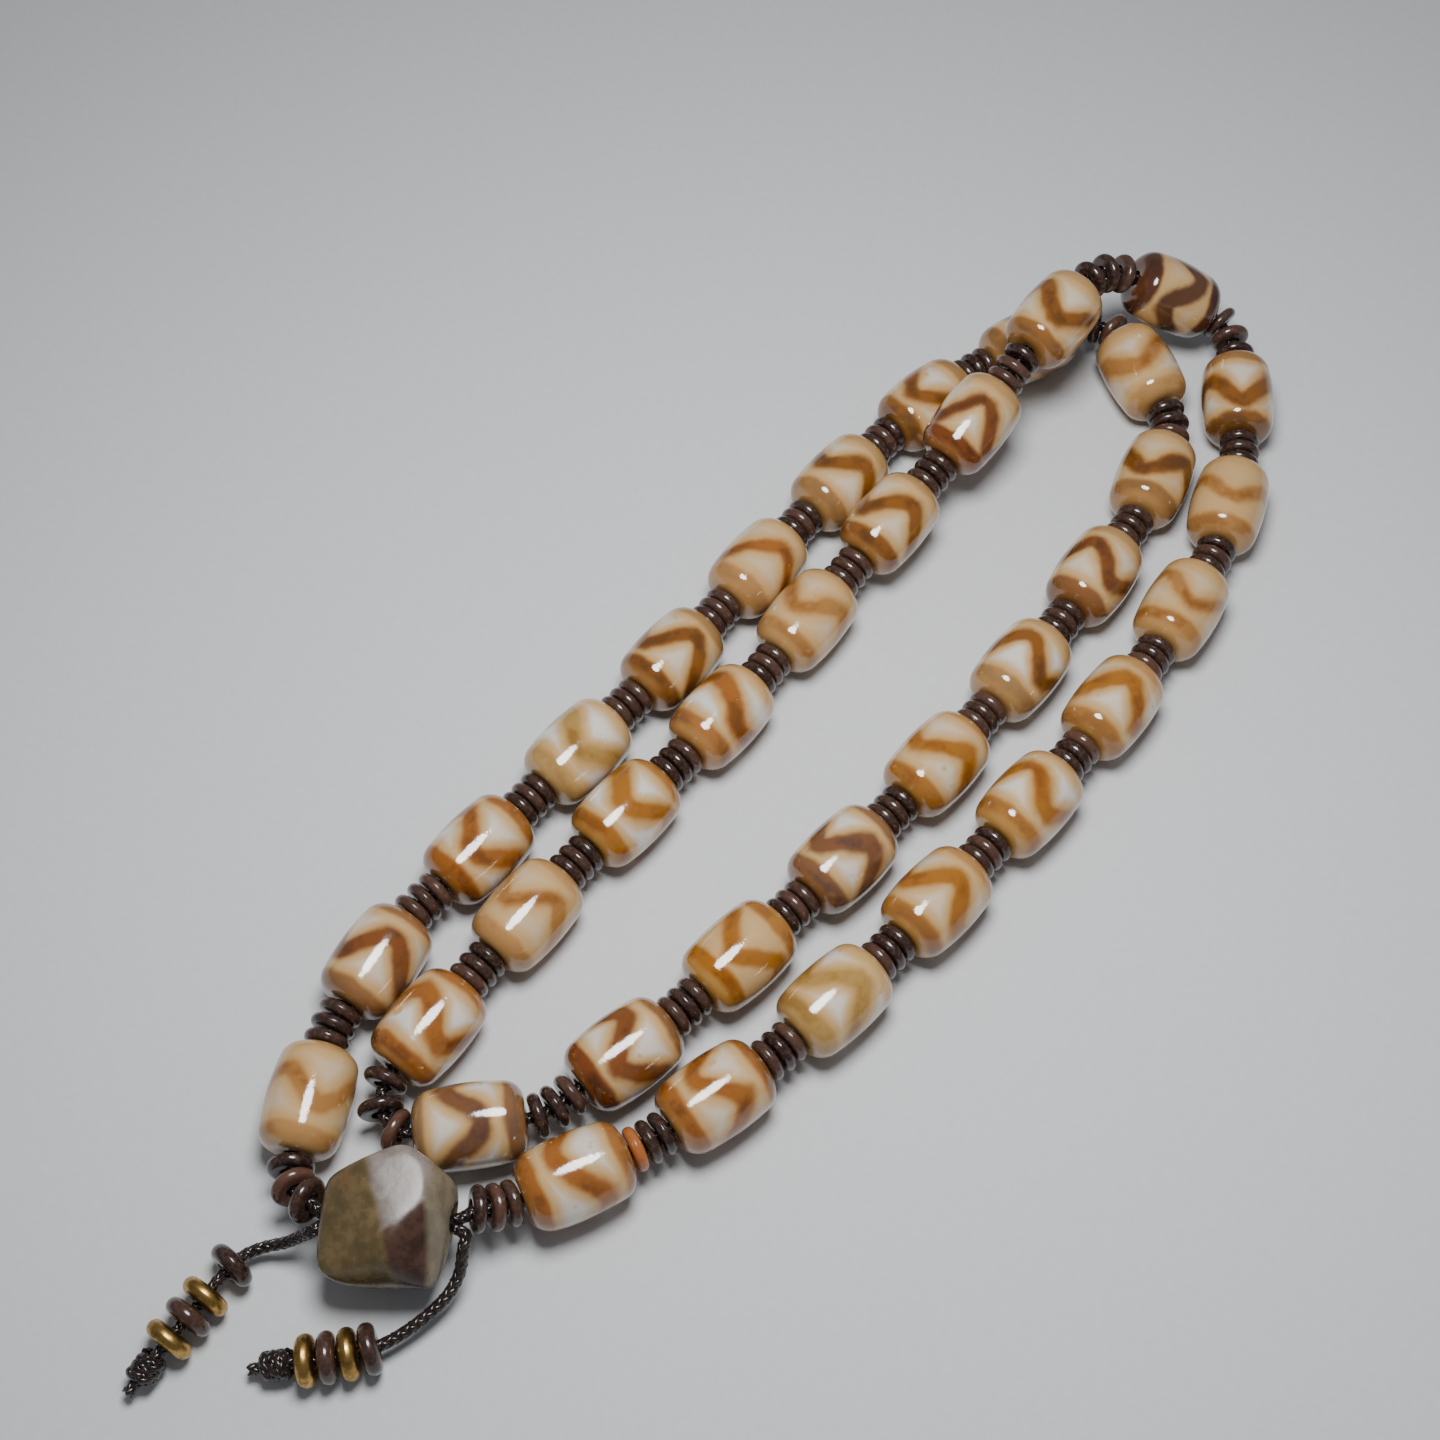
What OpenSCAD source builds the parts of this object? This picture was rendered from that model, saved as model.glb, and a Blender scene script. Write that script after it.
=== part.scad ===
// Dzi bead necklace: one cord strung with thirty-six banded agate beads and brown spacer discs,
// closed by a faceted guru bead with two knotted tails, lying on a table in a double loop.

/* [Dzi beads] */
// Length of a bead along its bore
bead_len = 12.8; // [11:0.1:14]
// Largest diameter of a bead, at its middle
bead_d = 10; // [7.5:0.1:10]
// How much larger a bead is at its middle than where the rounding of its ends begins
bead_swell = 0.54; // [0.2:0.02:1]
// Radius of the rounding at a bead's ends
bead_corner_r = 2.4; // [0.8:0.1:2.8]
// Diameter of the hole through a bead
bead_bore = 2.2; // [1.9:0.1:2.6]

/* [Spacer discs] */
// Diameter of a spacer disc
disc_d = 5.4; // [4.4:0.1:6]
// Thickness of a spacer disc
disc_t = 1.5; // [1.1:0.1:1.8]
// Diameter of the hole through a spacer disc
disc_bore = 2.2; // [1.9:0.1:2.4]
// Width of the stouter discs on the tails
tail_disc_d = 5.8; // [4.8:0.1:6.4]
// Thickness of the discs on the tails
tail_disc_t = 2; // [1.4:0.1:2.2]
// Spacer discs between two beads
discs_per_gap = 3; // [2:1:3]
// Free play between two strung pieces
play = 0.15; // [0.1:0.01:0.3]

/* [Cord] */
// Diameter of the braided cord
cord_d = 1.5; // [1:0.1:1.6]

/* [Guru bead] */
// Length of the guru bead along its bore
guru_len = 14.8; // [14:0.1:16]
// Depth of the guru bead across its bore
guru_depth = 14.4; // [12.8:0.1:15.4]
// Height of the guru bead as it lies
guru_height = 14.2; // [13:0.1:16]
// Rounding of the guru bead's worn edges
guru_edge_r = 0.9; // [0.4:0.1:1.4]
// Diameter of the guru bead's bore, wide enough for two cords
guru_bore = 4; // [3.8:0.1:4.6]
// Height of the guru bead's bore above the table
guru_bore_z = 7.2; // [6:0.1:8]

/* [Tails] */
// Diameter of the knot at the end of each tail
knot_d = 3.6; // [3:0.1:4.2]
// Turns of cord in a knot
knot_turns = 3; // [2:1:3]
// Length of the cut cord end beyond the knot
tail_stub = 1.4; // [0.5:0.1:2.5]

/* [Hidden] */

// Diameter of a bead where the rounding of its ends begins
bead_shoulder_d = bead_d - bead_swell;
bead_count = 36;
// Beads before the string crosses over itself and starts its second turn
first_turn_beads = 18;
gap_count = bead_count + 1;
cord_sides = 8;
round_fn = 48;
// Steps of a smooth curve between two route points and across a gap
route_steps = 10;
gap_steps = 16;
// Half the length over which a line's direction is taken
probe = cord_d / 4;

// String centre line as x, y and lift; the lift is a share of bead_d above the resting height
ROUTE = [
    [18, -70.3, 0.1], [22, -61.4, 0.02], [27, -44, 0], [29, -26, 0], [29.5, 0, 0],
    [28.5, 27.5, 0], [26, 45.5, 0], [21.3, 62.5, 0], [11, 78.5, 0], [7, 83.5, 0],
    [3, 87, 0], [-1, 87, 0.15], [-10, 79.5, 0.8], [-12.5, 74.5, 0.98], [-12, 64, 1.05],
    [-11.5, 55, 0.8], [-10.8, 46, 0.5], [-9.8, 28.5, 0.2], [-8.3, 10, 0], [-6.5, -8, 0],
    [-6, -26, 0], [-5, -44, 0], [-3.2, -60, 0], [-1.8, -68.8, 0], [0.6, -72.6, 0],
    [3.2, -72.3, 0], [5.3, -69.9, 0], [12.6, -61.2, 0], [15.1, -52, 0], [17, -30, 0],
    [17.5, 6, 0], [14.5, 42, 0], [11.4, 58, 0], [7, 67.9, 0], [1, 72.2, 0],
    [-9, 76, 0], [-13.5, 73.5, 0], [-16, 67.5, 0], [-20, 50, 0], [-20, 32, 0],
    [-18.7, 14, 0], [-17, -5, 0], [-16.4, -23, 0], [-15.4, -41, 0], [-14.4, -58, 0],
    [-7, -76, 0], [-2.4, -82, 0.03], [1, -84.8, 0.12]
];

// Where the cord shows between the pieces: number of the gap, slack as a share of disc_d,
// and the shares of that slack before and after the gap's discs
SLACK = [
    [0, 0.41, 0.5, 0.17], [1, 0.08, 0.25, 0.25], [2, 0.06, 0.25, 0.25], [5, 0.02, 0.25, 0.25],
    [6, 0.03, 0.25, 0.25], [7, 0.12, 0.25, 0.25], [8, 0.12, 0.25, 0.25], [9, 0.92, 0.15, 0.32],
    [10, 0.93, 0.25, 0.25], [11, 0.24, 0.25, 0.25], [12, 0.08, 0.25, 0.25], [13, 0.04, 0.25, 0.25],
    [14, 0.04, 0.25, 0.25], [15, 0.02, 0.25, 0.25], [18, 1.28, 0.12, 0.22], [19, 0.36, 0.25, 0.25],
    [20, 0.04, 0.25, 0.25], [24, 0.02, 0.25, 0.25], [25, 0.09, 0.25, 0.25], [26, 0.34, 0.25, 0.25],
    [27, 0.58, 0.22, 0.16], [28, 0.08, 0.25, 0.25], [29, 0.06, 0.25, 0.25], [34, 0.13, 0.25, 0.25],
    [35, 0.13, 0.25, 0.25], [36, 0.95, 0.16, 0.32]
];
// Above these shares of slack a gap bends the string, which then has more rings there
slight_bend = 0.1;
sharp_bend = 0.25;
hairpin_bend = 1;

// Middle of the guru bead's bore on the table and the direction of the bore
guru_at = [10.8, -78.7];
guru_heading = 41;
// How far the body of the guru bead lies to the front of its bore, as a share of its depth
guru_offset = 0.05;
// Corners of the guru bead: share of its half length, of its half depth and of its height
GURU_CORNERS = [
    [-0.46, -0.66, 1], [0.24, -1.07, 0.99], [0.55, -0.82, 0.98], [0.7, -0.11, 0.96],
    [0.11, 0.54, 0.97], [-0.98, -0.6, 0.75], [-1.06, -0.06, 0.71], [-1.06, 0.52, 0.66],
    [-1.02, 0.87, 0.6], [-0.75, 1, 0.53], [0.1, 0.81, 0.87], [1, -0.63, 0.68],
    [1, -0.16, 0.6], [0.79, 0.98, 0.46], [-0.94, -0.6, 0.32], [-0.95, 0.54, 0.25],
    [-0.58, 0.87, 0.19], [0.58, 0.81, 0.17], [0.94, -0.17, 0.25], [0.88, -0.67, 0.28],
    [-0.62, -0.84, 0.31], [0.57, -0.8, 0.33], [-0.58, -0.59, 0], [0.58, -0.59, 0],
    [0.62, 0.43, 0], [-0.55, 0.52, 0]
];

// Tails as x, y and height above the table; the height is a share of tail_disc_d
LEFT_TAIL = [
    [4.6, -86.6, 0.93], [3.2, -88.3, 0.62], [1.8, -89.8, 0.47], [0.9, -91.4, 0.44], [0.6, -92.8, 0.49],
    [0.6, -94.2, 0.52], [1.1, -98, 0.52], [1.5, -101, 0.52], [1.8, -103.8, 0.51], [2, -105.4, 0.47]
];
RIGHT_TAIL = [
    [18.8, -75.6, 1.16], [20, -77.6, 0.82], [20.5, -80, 0.62], [20.4, -82.4, 0.54],
    [20, -85, 0.5], [19.4, -87.4, 0.5], [18.5, -89.6, 0.52], [16.7, -92.2, 0.52],
    [15.2, -94.1, 0.52], [14.1, -95.4, 0.51], [13.5, -96.1, 0.48]
];
// Step of a tail out of the bore and to the front, in cord diameters
tail_lead = [0.6, 0.45];
// Spacing of a knot's turns, in cord diameters
knot_pitch = 0.8;
// Discs on each tail from the guru bead outward, at these shares of the tail's length
LEFT_BROWN = [0.53, 0.81];
LEFT_BRASS = [0.7, 0.93];
RIGHT_BROWN = [0.69, 0.864];
RIGHT_BRASS = [0.777, 0.951];

// Centre of the route's outline on the table, which becomes the part's origin
frame_centre = [4.798, 1.543];

function pad(n) = n < 10 ? str("0", n) : str(n);
function bead_name(n) = str("dzi_bead_", pad(n));
BEAD_NODES = [for (n = [1:bead_count]) bead_name(n)];

function unit(v) = v / norm(v);
function total(list, i = 0) = i < len(list) ? list[i] + total(list, i + 1) : 0;
// Running sums of a list, starting at zero
function running(list) =
    [for (i = 0, s = 0; i <= len(list); s = s + (i < len(list) ? list[i] : 0), i = i + 1) s];

// Slope of a curve through points p at point i, weighted by the lengths h of the pieces on both sides
function slope(p, h, i) =
    i == 0 ? (p[1] - p[0]) / h[0] :
    i == len(p) - 1 ? (p[i] - p[i - 1]) / h[i - 1] :
    ((p[i + 1] - p[i]) / h[i] * h[i - 1] + (p[i] - p[i - 1]) / h[i - 1] * h[i]) / (h[i] + h[i - 1]);
// Point at share t of the curve from a to b that leaves along m and arrives along n
function blend(a, m, b, n, t) =
    a * (2 * t ^ 3 - 3 * t ^ 2 + 1) + m * (t ^ 3 - 2 * t ^ 2 + t)
    + b * (3 * t ^ 2 - 2 * t ^ 3) + n * (t ^ 3 - t ^ 2);
// Smooth curve through all points p, with steps pieces between two of them
function curve(p, steps) =
    let (h = [for (i = [0:len(p) - 2]) norm(p[i + 1] - p[i])])
    [for (i = [0:len(p) - 2], k = [0:steps - 1 + (i == len(p) - 2 ? 1 : 0)])
        blend(p[i], slope(p, h, i) * h[i], p[i + 1], slope(p, h, i + 1) * h[i], k / steps)];
// Lengths along a curve q up to each of its points
function lengths(q) = running([for (i = [0:len(q) - 2]) norm(q[i + 1] - q[i])]);
// Place at length s along curve q, whose lengths are l
function place(q, l, s) =
    [for (axis = [0:2]) lookup(s, [for (i = [0:len(q) - 1]) [l[i], q[i][axis]]])];

// Guru bead: directions along its bore and across it, and the two mouths of the bore
guru_along = [cos(guru_heading), sin(guru_heading), 0];
guru_front = [sin(guru_heading), -cos(guru_heading), 0];

// String: pieces, lengths and stations
gap_len = discs_per_gap * disc_t + (discs_per_gap + 1) * play;
function slack_row(g) =
    let (found = [for (row = SLACK) if (row[0] == g) row])
    len(found) ? found[0] : [g, 0, 0.25, 0.25];
function slack(g) = slack_row(g)[1] * disc_d;
gaps = [for (g = [0:gap_count - 1]) gap_len + slack(g)];
strung_len = total(gaps) + bead_count * bead_len;
// Start of bead n along the string, the first bead being 0
function station(n) = total([for (g = [0:n]) gaps[g]]) + n * bead_len;

route_mid = [guru_at.x, guru_at.y, guru_bore_z];
route_points = concat(
    [route_mid + guru_along * guru_len / 2],
    [for (p = ROUTE) [p.x, p.y, (0.5 + p.z) * bead_d]],
    [route_mid - guru_along * guru_len / 2]
);
route_curve = curve(route_points, route_steps);
route_lengths = lengths(route_curve);
// The route grows with the string, so that every piece fits on it
loop_scale = strung_len / route_lengths[len(route_lengths) - 1];
function grown(p) =
    [loop_scale * (p.x - frame_centre.x), loop_scale * (p.y - frame_centre.y), p.z];
// Place on the string at length s, where no bead reaches below the table
function at(s) =
    let (p = grown(place(route_curve, route_lengths, s / loop_scale)))
    [p.x, p.y, max(p.z, bead_d / 2)];

guru_mid = grown(route_mid);
// The two cords in the guru bead's bore lie this far to each side of its axis
cord_side = (guru_bore - cord_d) / 2 - play;
mouth_start = guru_mid + guru_along * guru_len / 2 - guru_front * cord_side;
mouth_end = guru_mid - guru_along * guru_len / 2 - guru_front * cord_side;

bead_from = [for (n = [0:bead_count - 1]) at(station(n))];
bead_to = [for (n = [0:bead_count - 1]) at(station(n) + bead_len)];
bead_mid = (bead_from + bead_to) / 2;
bead_dir = [for (n = [0:bead_count - 1]) unit(bead_to[n] - bead_from[n])];

// Ends of gap g and the string's direction there
function gap_from(g) = g == 0 ? mouth_start : bead_mid[g - 1] + bead_dir[g - 1] * bead_len / 2;
function gap_to(g) = g == bead_count ? mouth_end : bead_mid[g] - bead_dir[g] * bead_len / 2;
function gap_from_dir(g) = g == 0 ? guru_along : bead_dir[g - 1];
function gap_to_dir(g) = g == bead_count ? guru_along : bead_dir[g];
// Reach of the curve's handles that makes a round arc of a bend
function handle(a, m, b, n) =
    let (turn = acos(max(-1, min(1, m * n))))
    norm(b - a) * (turn < 0.1 ? 1 : 2 * tan(turn / 4) / sin(turn / 2));
function gap_curve(g) =
    let (a = gap_from(g), m = gap_from_dir(g), b = gap_to(g), n = gap_to_dir(g))
    let (h = handle(a, m, b, n))
    [for (k = [0:gap_steps]) blend(a, m * h, b, n * h, k / gap_steps)];
GAP_CURVES = [for (g = [0:gap_count - 1]) gap_curve(g)];
// Place and direction at a share of the length of line q
function on_line(q, share) =
    let (l = lengths(q), s = share * l[len(l) - 1])
    let (a = place(q, l, s - probe), b = place(q, l, s + probe))
    [(a + b) / 2, unit(b - a)];
// Share of gap g at which its disc k lies
function disc_share(g, k) =
    let (row = slack_row(g), between = (1 - row[2] - row[3]) / (discs_per_gap - 1))
    (play + disc_t / 2 + k * (disc_t + play) + slack(g) * (row[2] + k * between)) / gaps[g];
DISC_PLACES = [
    for (g = [0:gap_count - 1])
        [for (k = [0:discs_per_gap - 1]) on_line(GAP_CURVES[g], disc_share(g, k))]
];

// Centre lines of the tails, from the mouths of the guru bead's bore
function tail_line(mouth, way, points) = concat(
    [mouth, mouth + (way * tail_lead.x + guru_front * tail_lead.y) * cord_d],
    [for (p = points) grown([p.x, p.y, p.z * tail_disc_d])]
);
left_mouth = guru_mid - guru_along * guru_len / 2 + guru_front * cord_side;
right_mouth = guru_mid + guru_along * guru_len / 2 + guru_front * cord_side;
left_line = tail_line(left_mouth, -guru_along, LEFT_TAIL);
right_line = tail_line(right_mouth, guru_along, RIGHT_TAIL);
function tail_end(line) = [line[len(line) - 1], unit(line[len(line) - 1] - line[len(line) - 2])];

// Cord between two mouths of the guru bead's bore, passing half a turn around the other cord
function in_bore(from_side, sense) =
    [for (turn = [0:60:180])
        guru_mid + guru_along * guru_len * (turn / 180 - 0.5)
        + (guru_front * cos(turn) * from_side + [0, 0, sense * sin(turn)]) * cord_side];
function gap_points(g) =
    let (share = slack_row(g)[1], ends = [gap_from(g), gap_to(g)], discs = DISC_PLACES[g])
    share > hairpin_bend ?
        concat([ends[0]], [for (d = discs, side = [-1, 1]) d[0] + side * d[1] * disc_t / 2], [ends[1]]) :
    share > sharp_bend ? concat([ends[0]], [for (d = discs) d[0]], [ends[1]]) :
    share > slight_bend ? ends :
        [on_line(GAP_CURVES[g], 0.5)[0]];
string_line = concat(
    in_bore(1, 1),
    [for (g = [0:gap_count - 1], p = gap_points(g))
        if (norm(p - mouth_start) > probe && norm(p - mouth_end) > probe) p],
    in_bore(-1, -1)
);

// Round tube along a line: rings of points square to it, joined by quadrilaterals.
// Its ends are square to start_way and to end_way, or to the line where these are left out
module tube(line, d, start_way, end_way) {
    last = len(line) - 1;
    rings = [for (i = [0:last])
        let (along = unit(line[min(i + 1, last)] - line[max(i - 1, 0)]),
             way = i == 0 && !is_undef(start_way) ? start_way :
                 i == last && !is_undef(end_way) ? end_way : along,
             side = unit(cross(way, [0, 0, 1])), up = cross(side, way))
        for (k = [0:cord_sides - 1])
            line[i] + (side * cos(360 * k / cord_sides) + up * sin(360 * k / cord_sides)) * d / 2];
    walls = [for (i = [0:last - 1], k = [0:cord_sides - 1])
        let (next = (k + 1) % cord_sides)
        [i * cord_sides + k, (i + 1) * cord_sides + k, (i + 1) * cord_sides + next, i * cord_sides + next]];
    start_cap = [for (k = [0:cord_sides - 1]) k];
    end_cap = [for (k = [cord_sides - 1:-1:0]) last * cord_sides + k];
    polyhedron(rings, concat([start_cap], walls, [end_cap]));
}

// Turns a piece made along Z to lie at a place and direction
module lie_at(where) {
    way = where[1];
    translate(where[0])
        rotate([0, acos(way.z), atan2(way.y, way.x)])
            children();
}

// Half outline of a dzi bead: a slow barrel curve between two rounded ends
module bead_outline() {
    corner_y = bead_len / 2 - bead_corner_r;
    drop = (bead_d - bead_shoulder_d) / 2;
    barrel_r = (corner_y ^ 2 + drop ^ 2) / (2 * drop);
    barrel_x = bead_d / 2 - barrel_r;
    corner_x = barrel_x + sqrt((barrel_r - bead_corner_r) ^ 2 - corner_y ^ 2);
    tangent_y = corner_y * barrel_r / (barrel_r - bead_corner_r);
    difference() {
        union() {
            intersection() {
                translate([barrel_x, 0]) circle(barrel_r, $fn = 16 * round_fn);
                translate([0, -tangent_y]) square([bead_d, 2 * tangent_y]);
            }
            for (y = [-corner_y, corner_y])
                translate([corner_x, y]) circle(bead_corner_r, $fn = round_fn);
            translate([0, -bead_len / 2]) square([corner_x, bead_len]);
        }
        translate([-bead_d, -bead_len]) square([bead_d + bead_bore / 2, 2 * bead_len]);
    }
}

module dzi_bead(n) {
    color("#b98a4e")
        lie_at([bead_mid[n - 1], bead_dir[n - 1]])
            rotate_extrude($fn = 2 * round_fn) bead_outline();
}

// Spacer disc with a half-round rim
module spacer_disc(d = disc_d, t = disc_t) {
    rotate_extrude($fn = round_fn)
        difference() {
            union() {
                translate([(d - t) / 2, 0]) circle(t / 2, $fn = round_fn);
                translate([0, -t / 2]) square([(d - t) / 2, t]);
            }
            translate([-d, -t]) square([d + disc_bore / 2, 2 * t]);
        }
}

// All spacer discs of the gaps from first to last
module spacer_discs(first, last) {
    color("#4a3326")
        for (g = [first:last], k = [0:discs_per_gap - 1])
            lie_at(DISC_PLACES[g][k]) spacer_disc();
}

module string() {
    color("#3a2a22") tube(string_line, cord_d, guru_along, guru_along);
}

// Faceted agate with worn edges, drilled right through
module guru_bead() {
    half = [guru_len / 2 - guru_edge_r, guru_depth / 2 - guru_edge_r, guru_height - 2 * guru_edge_r];
    color("#7c6a55")
        translate([guru_mid.x, guru_mid.y, 0]) rotate([0, 0, guru_heading])
            difference() {
                translate([0, -guru_offset * guru_depth, guru_edge_r])
                    hull()
                        for (c = GURU_CORNERS)
                            translate([c.x * half.x, -c.y * half.y, c.z * half.z])
                                sphere(guru_edge_r, $fn = 24);
                translate([-guru_len, 0, guru_bore_z]) rotate([0, 90, 0])
                    cylinder(h = 2 * guru_len, d = guru_bore, $fn = round_fn);
            }
}

module tail_discs(line, shares, paint) {
    color(paint)
        for (share = shares)
            lie_at(on_line(line, share)) spacer_disc(tail_disc_d, tail_disc_t);
}

module tail_cord(line, way) {
    color("#5a4032") tube(line, cord_d, way);
}

// Knot as turns of the cord wound close around its end
module tail_knot(line) {
    turn_gap = cord_d * knot_pitch;
    knot_len = (knot_turns - 1) * turn_gap + cord_d;
    color("#4a342a")
        lie_at(tail_end(line))
            rotate_extrude($fn = round_fn)
                intersection() {
                    union() {
                        for (k = [0:knot_turns - 1])
                            translate([(knot_d - cord_d) / 2, cord_d / 2 + k * turn_gap])
                                circle(d = cord_d, $fn = round_fn);
                        square([(knot_d - cord_d) / 2, knot_len - cord_d / 2]);
                        square([cord_d / 2, knot_len + tail_stub]);
                    }
                    square([knot_d, 2 * knot_len + tail_stub]);
                }
}

for (n = [1:bead_count])
    dzi_bead(n);
guru_bead();
spacer_discs(0, first_turn_beads - 1);  // spacer_discs_first_turn
spacer_discs(first_turn_beads, gap_count - 1);  // spacer_discs_second_turn
string();
tail_cord(left_line, -guru_along);  // tail_cord_left
tail_cord(right_line, guru_along);  // tail_cord_right
tail_discs(left_line, LEFT_BROWN, "#4a3326");  // tail_discs_brown_left
tail_discs(right_line, RIGHT_BROWN, "#4a3326");  // tail_discs_brown_right
tail_discs(left_line, LEFT_BRASS, "#a8864a");  // tail_discs_brass_left
tail_discs(right_line, RIGHT_BRASS, "#a8864a");  // tail_discs_brass_right
tail_knot(left_line);  // tail_knot_left
tail_knot(right_line);  // tail_knot_right
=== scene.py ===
import math

import bmesh
import bpy
import numpy as np
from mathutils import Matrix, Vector


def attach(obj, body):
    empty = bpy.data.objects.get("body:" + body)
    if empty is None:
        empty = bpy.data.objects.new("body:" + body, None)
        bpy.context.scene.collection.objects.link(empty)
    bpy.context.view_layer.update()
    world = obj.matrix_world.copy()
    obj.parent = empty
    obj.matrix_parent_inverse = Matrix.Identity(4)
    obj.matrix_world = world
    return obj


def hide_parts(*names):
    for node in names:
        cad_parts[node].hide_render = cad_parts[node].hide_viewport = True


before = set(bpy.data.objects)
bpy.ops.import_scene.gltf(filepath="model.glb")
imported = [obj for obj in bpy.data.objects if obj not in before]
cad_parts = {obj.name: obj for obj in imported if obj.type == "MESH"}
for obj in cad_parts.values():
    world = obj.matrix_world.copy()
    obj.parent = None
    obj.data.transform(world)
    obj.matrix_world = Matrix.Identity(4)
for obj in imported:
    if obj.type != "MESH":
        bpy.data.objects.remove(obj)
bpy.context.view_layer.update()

MM = 0.001
BEAD_COUNT = 36

# Sizes of the real pieces, in millimetres, as the CAD part has them
BEAD_LEN = 12.8
BEAD_D = 10.0
BEAD_SWELL = 0.54
BEAD_CORNER_R = 2.4
BEAD_BORE_R = 1.1
DISC_D = 5.4
DISC_T = 1.5
DISC_BORE = 2.2
TAIL_DISC_D = 5.8
TAIL_DISC_T = 2.0
CORD_D = 1.5
GURU_MID = (6.029, -80.607, 7.2)
GURU_HEADING = 41.0
GURU_HALF_LEN = 7.4
GURU_BORE_R = 2.0
DRILL_REACH = 12
# How crisp the worn facets' edges are: a higher power gives flatter facets
GURU_CRISP = 18
# Makes up for what the worn corners lose, so that the bead keeps its size
GURU_FULL = 1.012
# How far the tail cords lie to the front of the bore's middle
CORD_SIDE = 1.1
# One orange-brown disc among the dark ones, next to the first bead
RUSSET_DISC = (19.0, -56.3, 5.2)
KNOT_TURNS = 3
KNOT_PITCH = 1.2
KNOT_COIL_R = 1.05
TAIL_STUB = 1.4


# ---------------------------------------------------------------- small helpers

def linear(code):
    """An sRGB hex colour as the linear one that the shader needs."""
    parts = [int(code[i:i + 2], 16) / 255 for i in (1, 3, 5)]
    return tuple(c / 12.92 if c <= 0.04045 else ((c + 0.055) / 1.055) ** 2.4 for c in parts) + (1.0,)


def put(tree, kind, *values, **settings):
    """Adds a node of a kind, with its operation after a space. Values fill its first sockets, or the ones that
    a dict names: a socket or a node is linked, and any other value is set."""
    kind, _, operation = kind.partition(" ")
    node = tree.nodes.new(kind)
    if operation:
        node.operation = operation
    for key, value in settings.items():
        setattr(node, key, value)
    inputs = {}
    for place, value in enumerate(values):
        inputs.update(value if isinstance(value, dict) else {place: value})
    for key, value in inputs.items():
        socket = node.inputs[key]
        if isinstance(value, bpy.types.Node):
            value = value.outputs[0]
        if isinstance(value, bpy.types.NodeSocket):
            tree.links.new(value, socket)
        else:
            socket.default_value = value
    return node


def new_material(name):
    """A material with its shader, ready for a pattern."""
    material = bpy.data.materials.new(name)
    material.use_nodes = True
    tree = material.node_tree
    tree.nodes.clear()
    shader = put(tree, "ShaderNodeBsdfPrincipled")
    out = put(tree, "ShaderNodeOutputMaterial", {"Surface": shader})
    out.location = (400, 0)
    return material, tree, shader


def placed(name, data):
    """A new object in the scene that shows a mesh, curve, light or camera."""
    thing = bpy.data.objects.new(name, data)
    bpy.context.scene.collection.objects.link(thing)
    return thing


def plain_mesh(thing):
    """The mesh that an object shows once its modifiers and its curve's thickness are worked out."""
    graph = bpy.context.evaluated_depsgraph_get()
    graph.update()
    return bpy.data.meshes.new_from_object(thing.evaluated_get(graph), depsgraph=graph)


def mesh_object(name, vertices, faces, smooth=True):
    """A piece from points in millimetres."""
    mesh = bpy.data.meshes.new(name)
    mesh.from_pydata([tuple(Vector(v) * MM) for v in vertices], [], faces)
    piece = placed(name, mesh)
    mesh.polygons.foreach_set("use_smooth", [smooth] * len(mesh.polygons))
    mesh.update()
    return piece


def outward(piece):
    """Turns a closed mesh's faces outwards."""
    shape = bmesh.new()
    shape.from_mesh(piece.data)
    bmesh.ops.recalc_face_normals(shape, faces=shape.faces)
    shape.to_mesh(piece.data)
    shape.free()


def paint(piece, name, kind, values):
    """Writes one value for each point of the piece, for its material to read."""
    layer = piece.data.attributes.new(name, kind, "POINT")
    field = {"FLOAT": "value", "FLOAT_VECTOR": "vector", "FLOAT_COLOR": "color"}[kind]
    layer.data.foreach_set(field, np.asarray(values, np.float32).ravel())


def points_of(node):
    """The points of a CAD node, in millimetres."""
    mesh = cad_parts[node].data
    flat = np.empty(len(mesh.vertices) * 3)
    mesh.vertices.foreach_get("co", flat)
    return flat.reshape(-1, 3) / MM


def islands_of(node):
    """The separate solids of a CAD node, each as its points in millimetres."""
    shape = bmesh.new()
    shape.from_mesh(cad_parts[node].data)
    bmesh.ops.remove_doubles(shape, verts=shape.verts, dist=1e-6)
    shape.verts.ensure_lookup_table()
    unseen, found = set(range(len(shape.verts))), []
    while unseen:
        group, edge = [], [unseen.pop()]
        while edge:
            here = edge.pop()
            group.append(here)
            for link in shape.verts[here].link_edges:
                other = link.other_vert(shape.verts[here]).index
                if other in unseen:
                    unseen.discard(other)
                    edge.append(other)
        found.append(np.array([shape.verts[i].co[:] for i in group]) / MM)
    shape.free()
    return found


def centre_and_axes(points):
    """Middle of a turned piece, and its three own directions, the widest spread first."""
    mean = points.mean(0)
    _, axes = np.linalg.eigh(np.cov((points - mean).T))
    axes = axes[:, ::-1]
    local = (points - mean) @ axes
    middle = (local.min(0) + local.max(0)) / 2
    return mean + axes @ middle, axes.T


def set_input(modifier, name, value):
    """Sets a Geometry Nodes input through its socket's identifier."""
    for item in modifier.node_group.interface.items_tree:
        if item.item_type == "SOCKET" and item.in_out == "INPUT" and item.name == name:
            modifier[item.identifier] = value
            return
    raise KeyError(name)


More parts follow.
